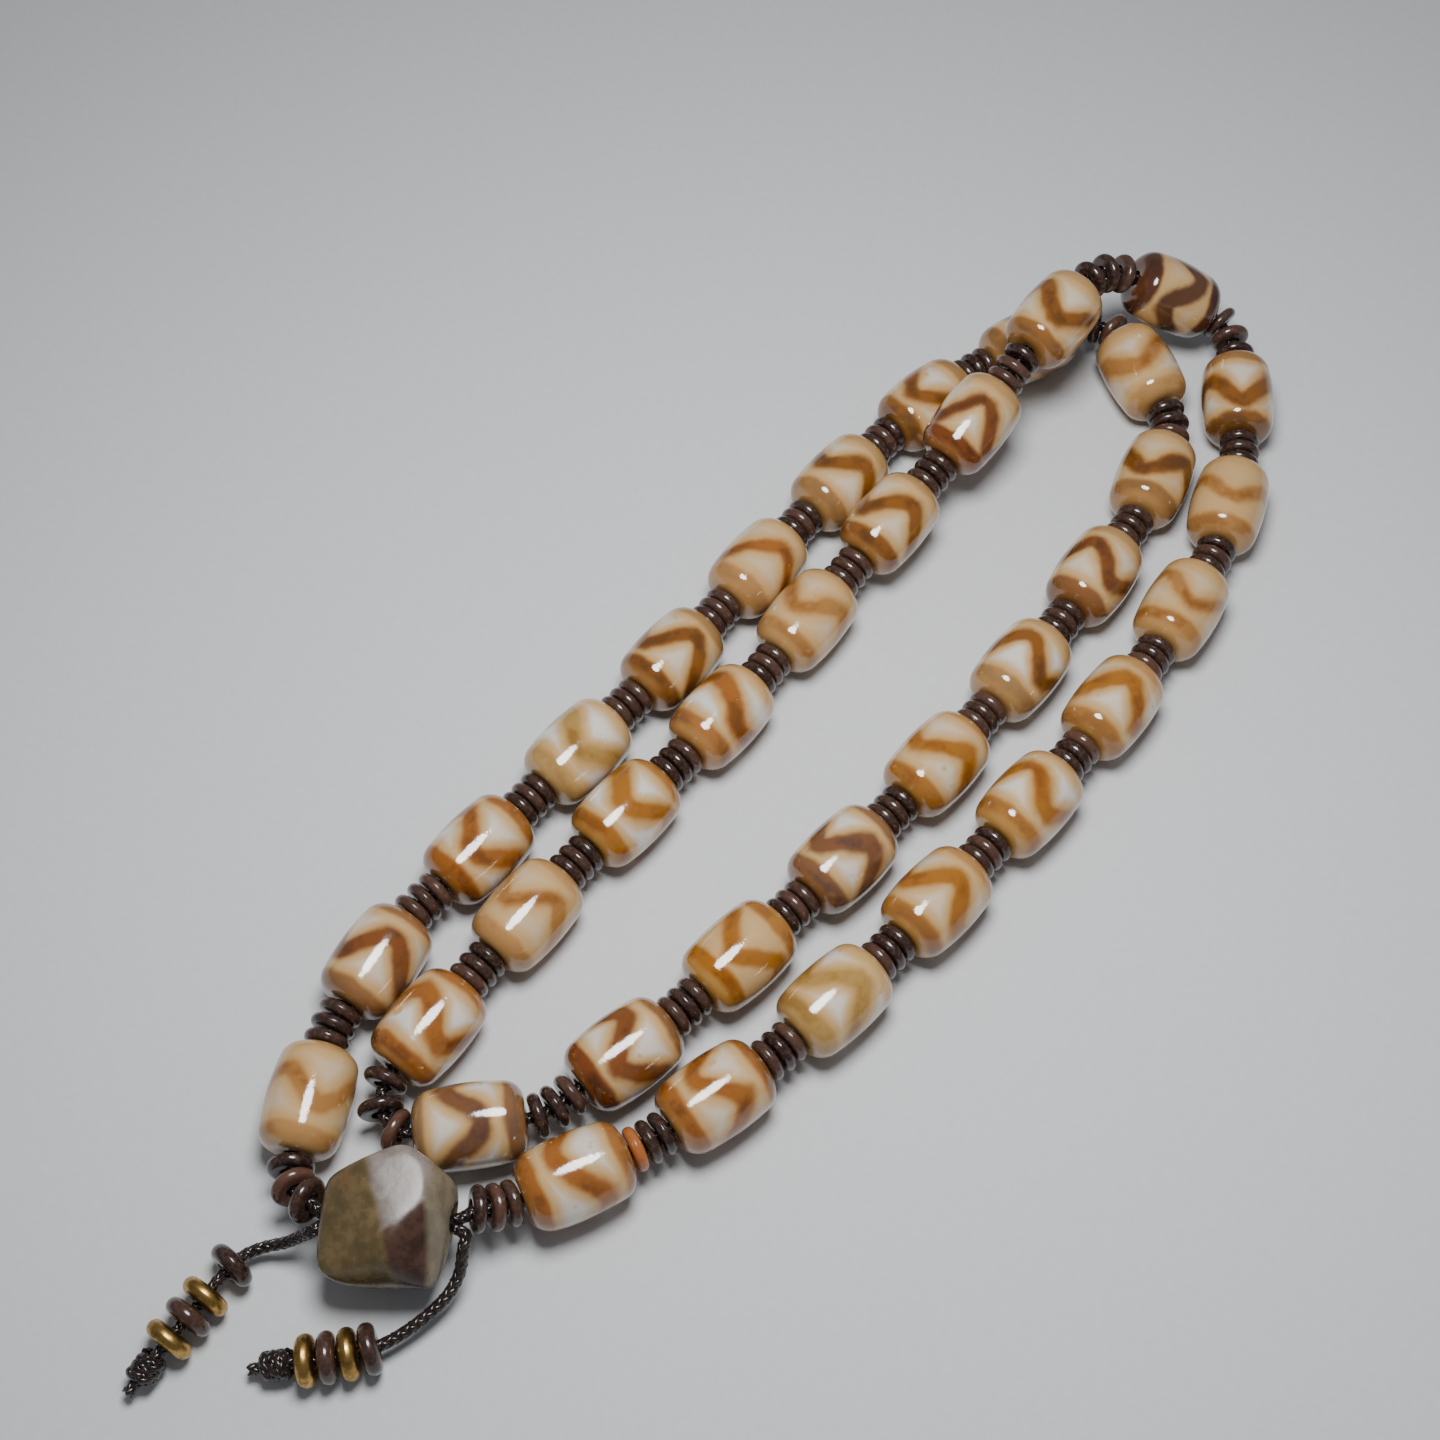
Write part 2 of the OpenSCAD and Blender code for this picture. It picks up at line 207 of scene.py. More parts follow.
def new_group(name, sizes):
    """A Geometry Nodes tree with named inputs: geometry first, then the sizes and the finish."""
    tree = bpy.data.node_groups.new(name, "GeometryNodeTree")
    tree.interface.new_socket("Geometry", in_out="INPUT", socket_type="NodeSocketGeometry")
    for label in sizes:
        tree.interface.new_socket(label, in_out="INPUT", socket_type="NodeSocketFloat")
    tree.interface.new_socket("Finish", in_out="INPUT", socket_type="NodeSocketMaterial")
    tree.interface.new_socket("Geometry", in_out="OUTPUT", socket_type="NodeSocketGeometry")
    return tree, put(tree, "NodeGroupInput").outputs


def grown(name, base, tree, finish, **sizes):
    """Runs a Geometry Nodes tree on a base object and keeps the plain mesh as a piece."""
    modifier = base.modifiers.new(tree.name, "NODES")
    modifier.node_group = tree
    for label, value in sizes.items():
        set_input(modifier, label.replace("_", " ").capitalize(), value)
    set_input(modifier, "Finish", finish)
    mesh = plain_mesh(base)
    bpy.data.objects.remove(base)
    mesh.name = name
    return placed(name, mesh)


def through(points, steps):
    """A smooth line through points, with steps between two of them."""
    points = np.array(points, float)
    gaps = np.linalg.norm(np.diff(points, axis=0), axis=1)
    ways = np.empty_like(points)
    ways[0] = (points[1] - points[0]) / gaps[0]
    ways[-1] = (points[-1] - points[-2]) / gaps[-1]
    for i in range(1, len(points) - 1):
        before, after = gaps[i - 1], gaps[i]
        ways[i] = ((points[i] - points[i - 1]) / before * after + (points[i + 1] - points[i]) / after * before) / (
            before + after)
    line = [points[0]]
    for i, gap in enumerate(gaps):
        for t in np.arange(1, steps + 1) / steps:
            line.append(points[i] * (2 * t ** 3 - 3 * t ** 2 + 1) + points[i + 1] * (3 * t ** 2 - 2 * t ** 3)
                        + ways[i] * gap * (t ** 3 - 2 * t ** 2 + t) + ways[i + 1] * gap * (t ** 3 - t ** 2))
    return np.array(line)


def curve_object(name, lines):
    """A curve object with one poly spline for each line of points in millimetres."""
    curve = bpy.data.curves.new(name, "CURVE")
    curve.dimensions = "3D"
    for line in lines:
        spline = curve.splines.new("POLY")
        spline.points.add(len(line) - 1)
        spline.points.foreach_set("co", np.hstack([np.array(line) * MM, np.ones((len(line), 1))]).ravel())
    return placed(name, curve)


def round_bar(name, lines, wide, resolution):
    """A plain round mesh of the given width in millimetres, laid along lines."""
    curve = curve_object(name, lines)
    curve.data.bevel_depth = wide / 2 * MM
    curve.data.bevel_resolution = resolution
    curve.data.use_fill_caps = True
    mesh = plain_mesh(curve)
    bpy.data.objects.remove(curve)
    return mesh


# ---------------------------------------------------------------- camera

def make_camera():
    """The photograph's camera: 60 degrees below the horizon, at the guru bead's end of the loop."""
    camera = placed("camera", bpy.data.cameras.new("camera"))
    camera.data.sensor_width = 36
    camera.data.lens = 51.3
    camera.data.clip_start, camera.data.clip_end = 0.01, 20
    camera.location = Vector((76.9, -103.9, 229.2)) * MM
    camera.rotation_mode = "QUATERNION"
    camera.rotation_quaternion = Vector((-0.341, 0.366, -0.866)).to_track_quat("-Z", "Y")
    bpy.context.scene.camera = camera


make_camera()


# ---------------------------------------------------------------- braid

# Eight-strand braid: four strands wind each way and pass over and under each other. A turn of a strand is
# BRAID_PITCH millimetres long, in BRAID_STEPS steps.
BRAID_PITCH = 4.4
BRAID_STEPS = 14
BRAID_STRANDS = 8


def braid_tree():
    """Winds strands round a line: half of them turn each way, and their distance from the line makes the weave."""
    tree, given = new_group("round braid", ["Middle radius", "Weave depth", "Pitch", "Strand width", "Strand height"])
    size = {socket.name: socket for socket in given}
    step = put(tree, "ShaderNodeMath DIVIDE", size["Pitch"], float(BRAID_STEPS))
    even = put(tree, "GeometryNodeResampleCurve", {"Curve": size["Geometry"], "Length": step}, mode="LENGTH")
    kept = even
    for name, kind, value in (
            ("braid_way", "FLOAT_VECTOR", put(tree, "GeometryNodeInputTangent")),
            ("braid_side", "FLOAT_VECTOR", put(tree, "GeometryNodeInputNormal")),
            ("braid_length", "FLOAT", put(tree, "GeometryNodeSplineParameter").outputs["Length"])):
        kept = put(tree, "GeometryNodeStoreNamedAttribute", {"Geometry": kept, "Name": name, "Value": value},
                   data_type=kind)
    strands = put(tree, "GeometryNodeDuplicateElements", {"Geometry": kept, "Amount": BRAID_STRANDS}, domain="SPLINE")
    number = strands.outputs["Duplicate Index"]
    kept = put(tree, "GeometryNodeStoreNamedAttribute",
               {"Geometry": strands, "Name": "braid_strand", "Value": number}, data_type="FLOAT", domain="POINT")
    strand = put(tree, "GeometryNodeInputNamedAttribute", {"Name": "braid_strand"}, data_type="FLOAT")
    hand = put(tree, "ShaderNodeMath SUBTRACT",
               put(tree, "ShaderNodeMath MULTIPLY", put(tree, "ShaderNodeMath MODULO", strand, 2.0), 2.0), 1.0)
    place = put(tree, "ShaderNodeMath MULTIPLY",
                put(tree, "ShaderNodeMath FLOOR", put(tree, "ShaderNodeMath DIVIDE", strand, 2.0)), math.pi / 2)
    turn = put(tree, "ShaderNodeMath MULTIPLY",
               put(tree, "ShaderNodeMath DIVIDE",
                   put(tree, "GeometryNodeInputNamedAttribute", {"Name": "braid_length"}, data_type="FLOAT"),
                   size["Pitch"]), 2 * math.pi)
    angle = put(tree, "ShaderNodeMath ADD", put(tree, "ShaderNodeMath MULTIPLY", turn, hand), place)
    cross = put(tree, "ShaderNodeMath COSINE", put(tree, "ShaderNodeMath MULTIPLY", turn, 4.0))
    radius = put(tree, "ShaderNodeMath ADD", size["Middle radius"],
                 put(tree, "ShaderNodeMath MULTIPLY", put(tree, "ShaderNodeMath MULTIPLY", cross, hand),
                     size["Weave depth"]))
    way = put(tree, "GeometryNodeInputNamedAttribute", {"Name": "braid_way"}, data_type="FLOAT_VECTOR")
    side = put(tree, "GeometryNodeInputNamedAttribute", {"Name": "braid_side"}, data_type="FLOAT_VECTOR")
    other = put(tree, "ShaderNodeVectorMath CROSS_PRODUCT", way, side)
    first = put(tree, "ShaderNodeVectorMath SCALE", {0: side, "Scale": put(tree, "ShaderNodeMath COSINE", angle)})
    second = put(tree, "ShaderNodeVectorMath SCALE", {0: other, "Scale": put(tree, "ShaderNodeMath SINE", angle)})
    out = put(tree, "ShaderNodeVectorMath ADD", first, second)
    shift = put(tree, "ShaderNodeVectorMath SCALE", {0: out, "Scale": radius})
    moved = put(tree, "GeometryNodeSetPosition", {"Geometry": kept, "Offset": shift})
    turned = put(tree, "GeometryNodeSetCurveNormal", {"Curve": moved, "Normal": out}, mode="FREE")
    outline = put(tree, "GeometryNodeCurvePrimitiveCircle", {"Resolution": 6, "Radius": 0.5})
    flat = put(tree, "ShaderNodeCombineXYZ", size["Strand height"], size["Strand width"], 1.0)
    outline = put(tree, "GeometryNodeTransform", {"Geometry": outline, "Scale": flat})
    made = put(tree, "GeometryNodeCurveToMesh", {"Curve": turned, "Profile Curve": outline, "Fill Caps": True})
    made = put(tree, "GeometryNodeSetShadeSmooth", {"Geometry": made})
    made = put(tree, "GeometryNodeRealizeInstances", {"Geometry": made})
    made = put(tree, "GeometryNodeSetMaterial", {"Geometry": made, "Material": size["Finish"]})
    put(tree, "NodeGroupOutput", made)
    return tree


def braided_cord():
    """Waxed round polyester braid, dark brown: each strand has a pearly, silky glint."""
    material, tree, shader = new_material("waxed_polyester_braid")
    place = put(tree, "ShaderNodeTexCoord").outputs["Object"]
    strand = put(tree, "ShaderNodeAttribute", attribute_name="braid_strand").outputs["Fac"]
    # Filaments lie along each strand, about 0.05 mm thick
    fibre = put(tree, "ShaderNodeTexNoise", {"Vector": place, "Scale": 9000.0, "Detail": 2.0})
    worn = put(tree, "ShaderNodeTexNoise", {"Vector": place, "Scale": 700.0, "Detail": 3.0})
    pick = put(tree, "ShaderNodeMath ADD", put(tree, "ShaderNodeMath MULTIPLY", strand, 0.37), worn)
    share = put(tree, "ShaderNodeMath FRACT", pick)
    colour = put(tree, "ShaderNodeMix", {0: share, 6: linear("#140D0B"), 7: linear("#2E211D")}, data_type="RGBA")
    tree.links.new(colour.outputs[2], shader.inputs["Base Color"])
    bump = put(tree, "ShaderNodeBump", {"Height": fibre, "Strength": 0.5, "Distance": 0.02 * MM})
    tree.links.new(bump.outputs[0], shader.inputs["Normal"])
    shader.inputs["Roughness"].default_value = 0.24
    shader.inputs["IOR"].default_value = 1.57
    shader.inputs["Sheen Weight"].default_value = 0.05
    shader.inputs["Sheen Roughness"].default_value = 0.35
    return material


BRAID = braid_tree()
BRAID_FINISH = braided_cord()


def braid_on(name, lines, width=CORD_D):
    """A braid of the given width, laid along lines of points in millimetres."""
    share = width / CORD_D
    strand_high = 0.34 * share
    return grown(name, curve_object(name + "_line", lines), BRAID, BRAID_FINISH,
                 middle_radius=(width / 2 - strand_high / 2 - 0.06 * share) * MM, weave_depth=0.06 * share * MM,
                 pitch=BRAID_PITCH * share * MM, strand_width=0.66 * share * MM, strand_height=strand_high * MM)


# ---------------------------------------------------------------- tail cords

heading = math.radians(GURU_HEADING)
GURU_ALONG = np.array([math.cos(heading), math.sin(heading), 0])
GURU_FRONT = np.array([math.sin(heading), -math.cos(heading), 0])
# The CAD part moves and scales its route so
LOOP_SCALE = 1.00454
LOOP_CENTRE = (4.798, 1.543)
BRAID_END = 0.2

# Route points of the two tails as in the CAD part: x, y, and height as a share of a tail disc's width
LEFT_TAIL = [(4.6, -86.6, 0.93), (3.2, -88.3, 0.62), (1.8, -89.8, 0.47), (0.9, -91.4, 0.44), (0.6, -92.8, 0.49),
             (0.6, -94.2, 0.52), (1.1, -98, 0.52), (1.5, -101, 0.52), (1.8, -103.8, 0.51), (2, -105.4, 0.47)]
RIGHT_TAIL = [(18.8, -75.6, 1.16), (20, -77.6, 0.82), (20.5, -80, 0.62), (20.4, -82.4, 0.54), (20, -85, 0.5),
              (19.4, -87.4, 0.5), (18.5, -89.6, 0.52), (16.7, -92.2, 0.52), (15.2, -94.1, 0.52),
              (14.1, -95.4, 0.51), (13.5, -96.1, 0.48)]


def tail_line(way, route):
    """The smooth line of a tail, from the guru bead's mouth to the start of its knot."""
    mouth = np.array(GURU_MID) + GURU_ALONG * way * GURU_HALF_LEN + GURU_FRONT * CORD_SIDE
    # The cord comes straight out of the bore, then leans to the front
    lead = mouth + (GURU_ALONG * way * 0.6 + GURU_FRONT * 0.45) * CORD_D
    rest = [((x - LOOP_CENTRE[0]) * LOOP_SCALE, (y - LOOP_CENTRE[1]) * LOOP_SCALE, z * TAIL_DISC_D)
            for x, y, z in route]
    return through([mouth, lead, *rest], steps=6)


def coil_line(start, way):
    """The turns of a tail knot, wound round the cord in the direction way."""
    side = np.cross(way, (0, 0, 1.0))
    side /= np.linalg.norm(side)
    other = np.cross(way, side)
    steps = 22 * KNOT_TURNS
    line = []
    for i in range(steps + 1):
        turn = 2 * math.pi * KNOT_TURNS * i / steps
        ahead = CORD_D / 2 + (KNOT_TURNS - 1) * KNOT_PITCH * i / steps
        line.append(start + way * ahead + KNOT_COIL_R * (side * math.cos(turn) + other * math.sin(turn)))
    return line


TAILS = {}
for hand, way, route in (("left", -1, LEFT_TAIL), ("right", 1, RIGHT_TAIL)):
    line = tail_line(way, route)
    end_way = (line[-1] - line[-2]) / np.linalg.norm(line[-1] - line[-2])
    knot_long = (KNOT_TURNS - 1) * KNOT_PITCH + CORD_D
    tip = line[-1] + end_way * (knot_long + TAIL_STUB)
    whole = np.vstack([line, line[-1] + end_way * knot_long / 2, tip])
    # The braid stops just short of the tip, for the strands at its cut end bulge past the line
    cord = braid_on("tail_cord_" + hand, [np.vstack([whole[:-1], tip - end_way * BRAID_END])])
    knot = braid_on("tail_knot_" + hand, [coil_line(line[-1], end_way)])
    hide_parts("tail_cord_" + hand)
    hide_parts("tail_knot_" + hand)
    TAILS[hand] = {"cord": cord, "knot": knot, "line": whole}


# ---------------------------------------------------------------- discs

def disc_tree():
    """Turns a rounded outline round a ring, and puts the disc on each point, square to the string there."""
    tree, given = new_group("threaded discs", ["Disc width", "Disc thickness", "Bore", "Edge radius"])
    size = {socket.name: socket for socket in given}

    ring = put(tree, "ShaderNodeMath DIVIDE", put(tree, "ShaderNodeMath ADD", size["Disc width"], size["Bore"]),
               4.0)
    wall = put(tree, "ShaderNodeMath DIVIDE",
               put(tree, "ShaderNodeMath SUBTRACT", size["Disc width"], size["Bore"]), 2.0)
    path = put(tree, "GeometryNodeCurvePrimitiveCircle", {"Resolution": 32, "Radius": ring})
    outline = put(tree, "GeometryNodeCurvePrimitiveQuadrilateral", {"Width": wall, "Height": size["Disc thickness"]})
    # The outline's corners with x above 0 are the disc's rim, and the others are the edge of its hole
    corner = put(tree, "ShaderNodeSeparateXYZ", put(tree, "GeometryNodeInputPosition")).outputs[0]
    rim = put(tree, "ShaderNodeMapRange", {"Value": corner, "From Min": -0.1 * MM, "From Max": 0.1 * MM,
                                          "To Min": 0.14 * MM, "To Max": size["Edge radius"]})
    outline = put(tree, "GeometryNodeFilletCurve", {"Curve": outline, "Count": 4, "Radius": rim}, mode="POLY")
    disc = put(tree, "GeometryNodeCurveToMesh", {"Curve": path, "Profile Curve": outline})
    here = put(tree, "GeometryNodeInputPosition")
    disc = put(tree, "GeometryNodeStoreNamedAttribute", {"Geometry": disc, "Name": "disc_place", "Value": here},
               data_type="FLOAT_VECTOR")
    disc = put(tree, "GeometryNodeSetShadeSmooth", {"Geometry": disc})
    axis = put(tree, "GeometryNodeInputNamedAttribute", {"Name": "disc_axis"}, data_type="FLOAT_VECTOR")
    spin = put(tree, "GeometryNodeInputNamedAttribute", {"Name": "disc_spin"}, data_type="FLOAT")
    facing = put(tree, "FunctionNodeAlignRotationToVector", {"Vector": axis}, axis="Z")
    turned = put(tree, "FunctionNodeAxisAngleToRotation", {"Axis": (0, 0, 1), "Angle": spin})
    facing = put(tree, "FunctionNodeRotateRotation", {"Rotation": facing, "Rotate By": turned}, rotation_space="LOCAL")
    many = put(tree, "GeometryNodeInstanceOnPoints",
               {"Points": size["Geometry"], "Instance": disc, "Rotation": facing})
    many = put(tree, "GeometryNodeRealizeInstances", {"Geometry": many})
    many = put(tree, "GeometryNodeSetMaterial", {"Geometry": many, "Material": size["Finish"]})
    put(tree, "NodeGroupOutput", many)
    return tree


def coconut_shell():
    """Lathe-turned coconut shell, waxed and handled: near black brown, glossy, with turning lines and pale rubs."""
    material, tree, shader = new_material("polished_coconut_shell")
    place = put(tree, "ShaderNodeAttribute", attribute_name="disc_place").outputs["Vector"]
    tone = put(tree, "ShaderNodeAttribute", attribute_name="disc_tone").outputs["Fac"]
    moved = put(tree, "ShaderNodeVectorMath ADD", place, put(tree, "ShaderNodeCombineXYZ", tone, tone))
    # Flecks of the shell are about half a millimetre long
    fleck = put(tree, "ShaderNodeTexNoise", {"Vector": moved, "Scale": 1800.0, "Detail": 4.0, "Roughness": 0.6})
    shade = put(tree, "ShaderNodeValToRGB", {"Fac": tone})
    ramp = shade.color_ramp
    ramp.elements[0].position, ramp.elements[0].color = 0.0, linear("#221613")
    ramp.elements[1].position, ramp.elements[1].color = 1.0, linear("#A8602C")
    for at, code in ((0.35, "#32221C"), (0.7, "#453028"), (0.93, "#573A2D")):
        ramp.elements.new(at).color = linear(code)
    mottle = put(tree, "ShaderNodeMapRange", {"Value": fleck, "From Min": 0.42, "From Max": 0.72, "To Max": 0.4})
    colour = put(tree, "ShaderNodeMix", {0: mottle, 6: shade, 7: linear("#6A4C3E")}, data_type="RGBA")
    tree.links.new(colour.outputs[2], shader.inputs["Base Color"])
    # Turning lines run round the disc about 0.12 mm apart
    across = put(tree, "ShaderNodeVectorMath MULTIPLY", place, (1, 1, 0))
    away = put(tree, "ShaderNodeVectorMath LENGTH", across).outputs["Value"]
    lines = put(tree, "ShaderNodeCombineXYZ", away, put(tree, "ShaderNodeSeparateXYZ", place).outputs[2])
    turning = put(tree, "ShaderNodeTexNoise", {"Vector": lines, "Scale": 8000.0, "Detail": 2.0})
    rub = put(tree, "ShaderNodeTexNoise", {"Vector": moved, "Scale": 900.0, "Detail": 3.0})
    rough = put(tree, "ShaderNodeMapRange", {"Value": rub, "From Min": 0.35, "From Max": 0.7, "To Min": 0.14,
                                            "To Max": 0.3})
    tree.links.new(rough.outputs[0], shader.inputs["Roughness"])
    dents = put(tree, "ShaderNodeBump", {"Height": rub, "Strength": 0.25, "Distance": 0.04 * MM})
    bump = put(tree, "ShaderNodeBump", {"Height": turning, "Strength": 0.15, "Distance": 0.01 * MM,
                                        "Normal": dents})
    tree.links.new(bump.outputs[0], shader.inputs["Normal"])
    shader.inputs["IOR"].default_value = 1.5
    shader.inputs["Coat Weight"].default_value = 0.35
    shader.inputs["Coat Roughness"].default_value = 0.12
    return material


def antique_brass():
    """Cast brass, tumbled and worn: satin gold on the rims, browned where hands don't reach."""
    material, tree, shader = new_material("tumbled_antique_brass")
    place = put(tree, "ShaderNodeAttribute", attribute_name="disc_place").outputs["Vector"]
    spots = put(tree, "ShaderNodeTexNoise", {"Vector": place, "Scale": 1100.0, "Detail": 4.0, "Roughness": 0.65})
    brown = put(tree, "ShaderNodeMapRange", {"Value": spots, "From Min": 0.4, "From Max": 0.7})
    colour = put(tree, "ShaderNodeMix", {0: brown, 6: linear("#C9A45C"), 7: linear("#7D5C34")}, data_type="RGBA")
    tree.links.new(colour.outputs[2], shader.inputs["Base Color"])
    rough = put(tree, "ShaderNodeMapRange", {"Value": spots, "From Min": 0.35, "From Max": 0.7, "To Min": 0.24,
                                            "To Max": 0.46})
    tree.links.new(rough.outputs[0], shader.inputs["Roughness"])
    grain = put(tree, "ShaderNodeTexNoise", {"Vector": place, "Scale": 5200.0, "Detail": 2.0})
    bump = put(tree, "ShaderNodeBump", {"Height": grain, "Strength": 0.4, "Distance": 0.03 * MM})
    tree.links.new(bump.outputs[0], shader.inputs["Normal"])
    shader.inputs["Metallic"].default_value = 1.0
    return material


DISCS = disc_tree()
SHELL_FINISH = coconut_shell()
BRASS_FINISH = antique_brass()
chance = np.random.default_rng(11)
disc_places = []


def discs_on(node, finish, wide=DISC_D, thick=DISC_T):
    """Discs where the CAD node has them, as one piece that replaces it."""
    solids = [centre_and_axes(points) for points in islands_of(node)]
    centres = np.array([c for c, _ in solids])
    order = np.lexsort(np.round(centres, 2).T)
    centres = centres[order]
    axes = np.array([solids[i][1][2] for i in order])
    base = mesh_object(node + "_points", centres, [])
    paint(base, "disc_axis", "FLOAT_VECTOR", axes)
    paint(base, "disc_spin", "FLOAT", chance.uniform(0, 2 * math.pi, len(solids)))
    tones = chance.uniform(0, 0.9, len(solids)) ** 1.3
    tones[np.linalg.norm(centres - RUSSET_DISC, axis=1) < 1] = 1
    paint(base, "disc_tone", "FLOAT", tones)
    piece = grown(node + "_turned", base, DISCS, finish, disc_width=wide * MM, disc_thickness=thick * MM,
                  bore=DISC_BORE * MM, edge_radius=0.49 * thick * MM)
    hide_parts(node)
    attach(piece, "root")
    disc_places.extend(zip(centres, axes))
    return piece


discs_on("spacer_discs_first_turn", SHELL_FINISH)
discs_on("spacer_discs_second_turn", SHELL_FINISH)
string_discs = list(disc_places)
for hand in ("left", "right"):
    TAILS[hand]["brown"] = discs_on("tail_discs_brown_" + hand, SHELL_FINISH, TAIL_DISC_D, TAIL_DISC_T)
    TAILS[hand]["brass"] = discs_on("tail_discs_brass_" + hand, BRASS_FINISH, TAIL_DISC_D,
                                    TAIL_DISC_T)

for hand, tail in TAILS.items():
    for piece in (tail["cord"], tail["knot"]):
        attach(piece, "root")
    line = tail["line"]


# ---------------------------------------------------------------- dzi beads

# What each bead shows, in string order from the guru bead's right mouth.
# Waves round the bead, angle of a crest from the top towards the left side, middle and swing of the wavy
# line along the bead, half its width, inner edges of the two end bands, all in millimetres and degrees,
# the tone of the dye, how strong the first and the last end band are, and how milky the stone is between.
BEAD_LOOKS = [
    (2, -70, 0.2, 2.0, 1.20, -4.2, 4.5, "orange", 0.95, 0.85, 0.80),
    (3, -42, 0.1, 1.9, 1.15, -3.9, 4.5, "orange", 0.95, 0.90, 0.60),
    (3, -19, 0.4, 2.0, 1.15, -3.9, 4.8, "pale", 0.90, 0.30, 0.80),
    (3, -12, 0.1, 1.9, 1.25, -4.2, 4.2, "amber", 0.85, 0.60, 0.50),
    (3, 20, 0.5, 1.8, 1.15, -3.7, 4.8, "amber", 0.85, 0.35, 0.90),
    (3, -6, 0.1, 2.0, 1.20, -4.4, 4.0, "amber", 0.80, 0.50, 0.70),
    (3, 46, 0.2, 1.9, 0.90, -3.7, 4.0, "tan", 0.95, 0.30, 0.30),
    (3, 60, -0.2, 1.6, 1.00, -4.5, 3.8, "tan", 0.85, 0.25, 0.05),
    (3, 64, -1.3, 2.2, 1.25, -5.0, 3.5, "brown", 0.90, 0.70, 0.70),
    (3, 69, 0.5, 2.0, 1.30, -3.4, 4.7, "dark", 1.00, 1.00, 0.20),
    (3, 20, 0.4, 2.1, 1.15, -3.9, 4.5, "brown", 0.30, 0.85, 0.60),
    (3, -45, 0.4, 2.5, 1.05, -4.2, 3.8, "russet", 0.35, 1.00, 0.50),
    (3, -33, -0.2, 2.0, 1.20, -4.5, 4.0, "brown", 0.45, 0.95, 0.50),
    (3, -8, -0.6, 1.8, 1.05, -4.4, 3.8, "tan", 0.35, 0.80, 0.30),
    (2, 62, -0.5, 2.0, 1.30, -4.7, 3.6, "orange", 0.30, 0.85, 1.00),
    (3, 14, -0.9, 1.8, 1.20, -4.5, 4.0, "amber", 0.85, 0.95, 1.00),
    (3, -22, -0.5, 1.9, 1.10, -4.5, 4.2, "tan", 0.50, 0.70, 0.30),
    (3, 43, -0.4, 2.0, 1.20, -4.6, 4.0, "orange", 0.90, 0.95, 1.00),
    (3, -17, -0.3, 2.0, 1.30, -4.8, 4.2, "purple", 0.70, 0.85, 0.80),
    (3, 32, -0.1, 2.1, 1.25, -4.2, 4.7, "russet", 1.00, 0.80, 0.80),
    (3, 50, 0.2, 1.9, 1.10, -3.4, 3.8, "amber", 1.00, 0.85, 0.10),
    (3, -34, 0.1, 2.1, 1.30, -4.1, 4.5, "purple", 0.90, 0.80, 0.80),
    (3, -36, 0.1, 1.7, 1.10, -4.4, 4.7, "amber", 0.90, 0.60, 0.50),
    (3, 8, 0.5, 1.9, 1.10, -3.9, 4.2, "brown", 0.60, 0.30, 1.00),
    (3, 19, -0.2, 1.9, 1.10, -4.6, 3.8, "russet", 0.85, 0.40, 0.60),
    (3, -44, -0.4, 1.6, 1.30, -3.9, 4.0, "brown", 0.75, 0.30, 0.30),
    (3, -38, -0.2, 1.8, 1.15, -4.7, 3.8, "tan", 0.60, 0.30, 0.50),
    (3, -60, 0.0, 1.9, 1.15, -4.2, 4.2, "brown", 0.60, 0.80, 0.50),
    (3, -3, 0.7, 2.1, 1.15, -3.5, 4.7, "brown", 0.60, 0.90, 0.70),
    (3, -23, -0.2, 1.9, 1.10, -3.9, 4.2, "brown", 0.35, 0.70, 0.60),
    (2, -58, 0.5, 2.6, 1.05, -4.8, 3.8, "orange", 0.30, 0.60, 0.30),
    (3, -34, -0.1, 2.3, 1.20, -4.1, 4.0, "brown", 0.60, 0.95, 0.60),
    (3, 22, -0.3, 1.7, 1.15, -5.1, 4.0, "pale", 0.25, 0.65, 1.00),
    (3, 22, 0.1, 1.9, 1.20, -4.2, 4.2, "orange", 0.90, 1.00, 0.80),
    (3, -40, -0.2, 2.0, 1.20, -4.7, 4.3, "russet", 0.75, 0.75, 0.60),
    (3, 29, -0.4, 1.8, 1.10, -4.9, 4.0, "tan", 0.40, 0.70, 0.30),
]

# Each dye tone: the bands, their darker parts, and the ends outside the bands
DYE = {
    "pale": ("#A37F42", "#865E20", "#AF8A50"),
    "tan": ("#9F6D36", "#834E18", "#B48850"),
    "amber": ("#965C12", "#7A4203", "#B3833E"),
    "orange": ("#905317", "#683606", "#A8743A"),
    "brown": ("#7A4609", "#562E03", "#A07038"),
    "russet": ("#703A11", "#4E2505", "#8C5A2C"),
    "dark": ("#512E1C", "#3E2318", "#74482A"),
    "purple": ("#6B4228", "#4A2D28", "#8A5A2E"),
}


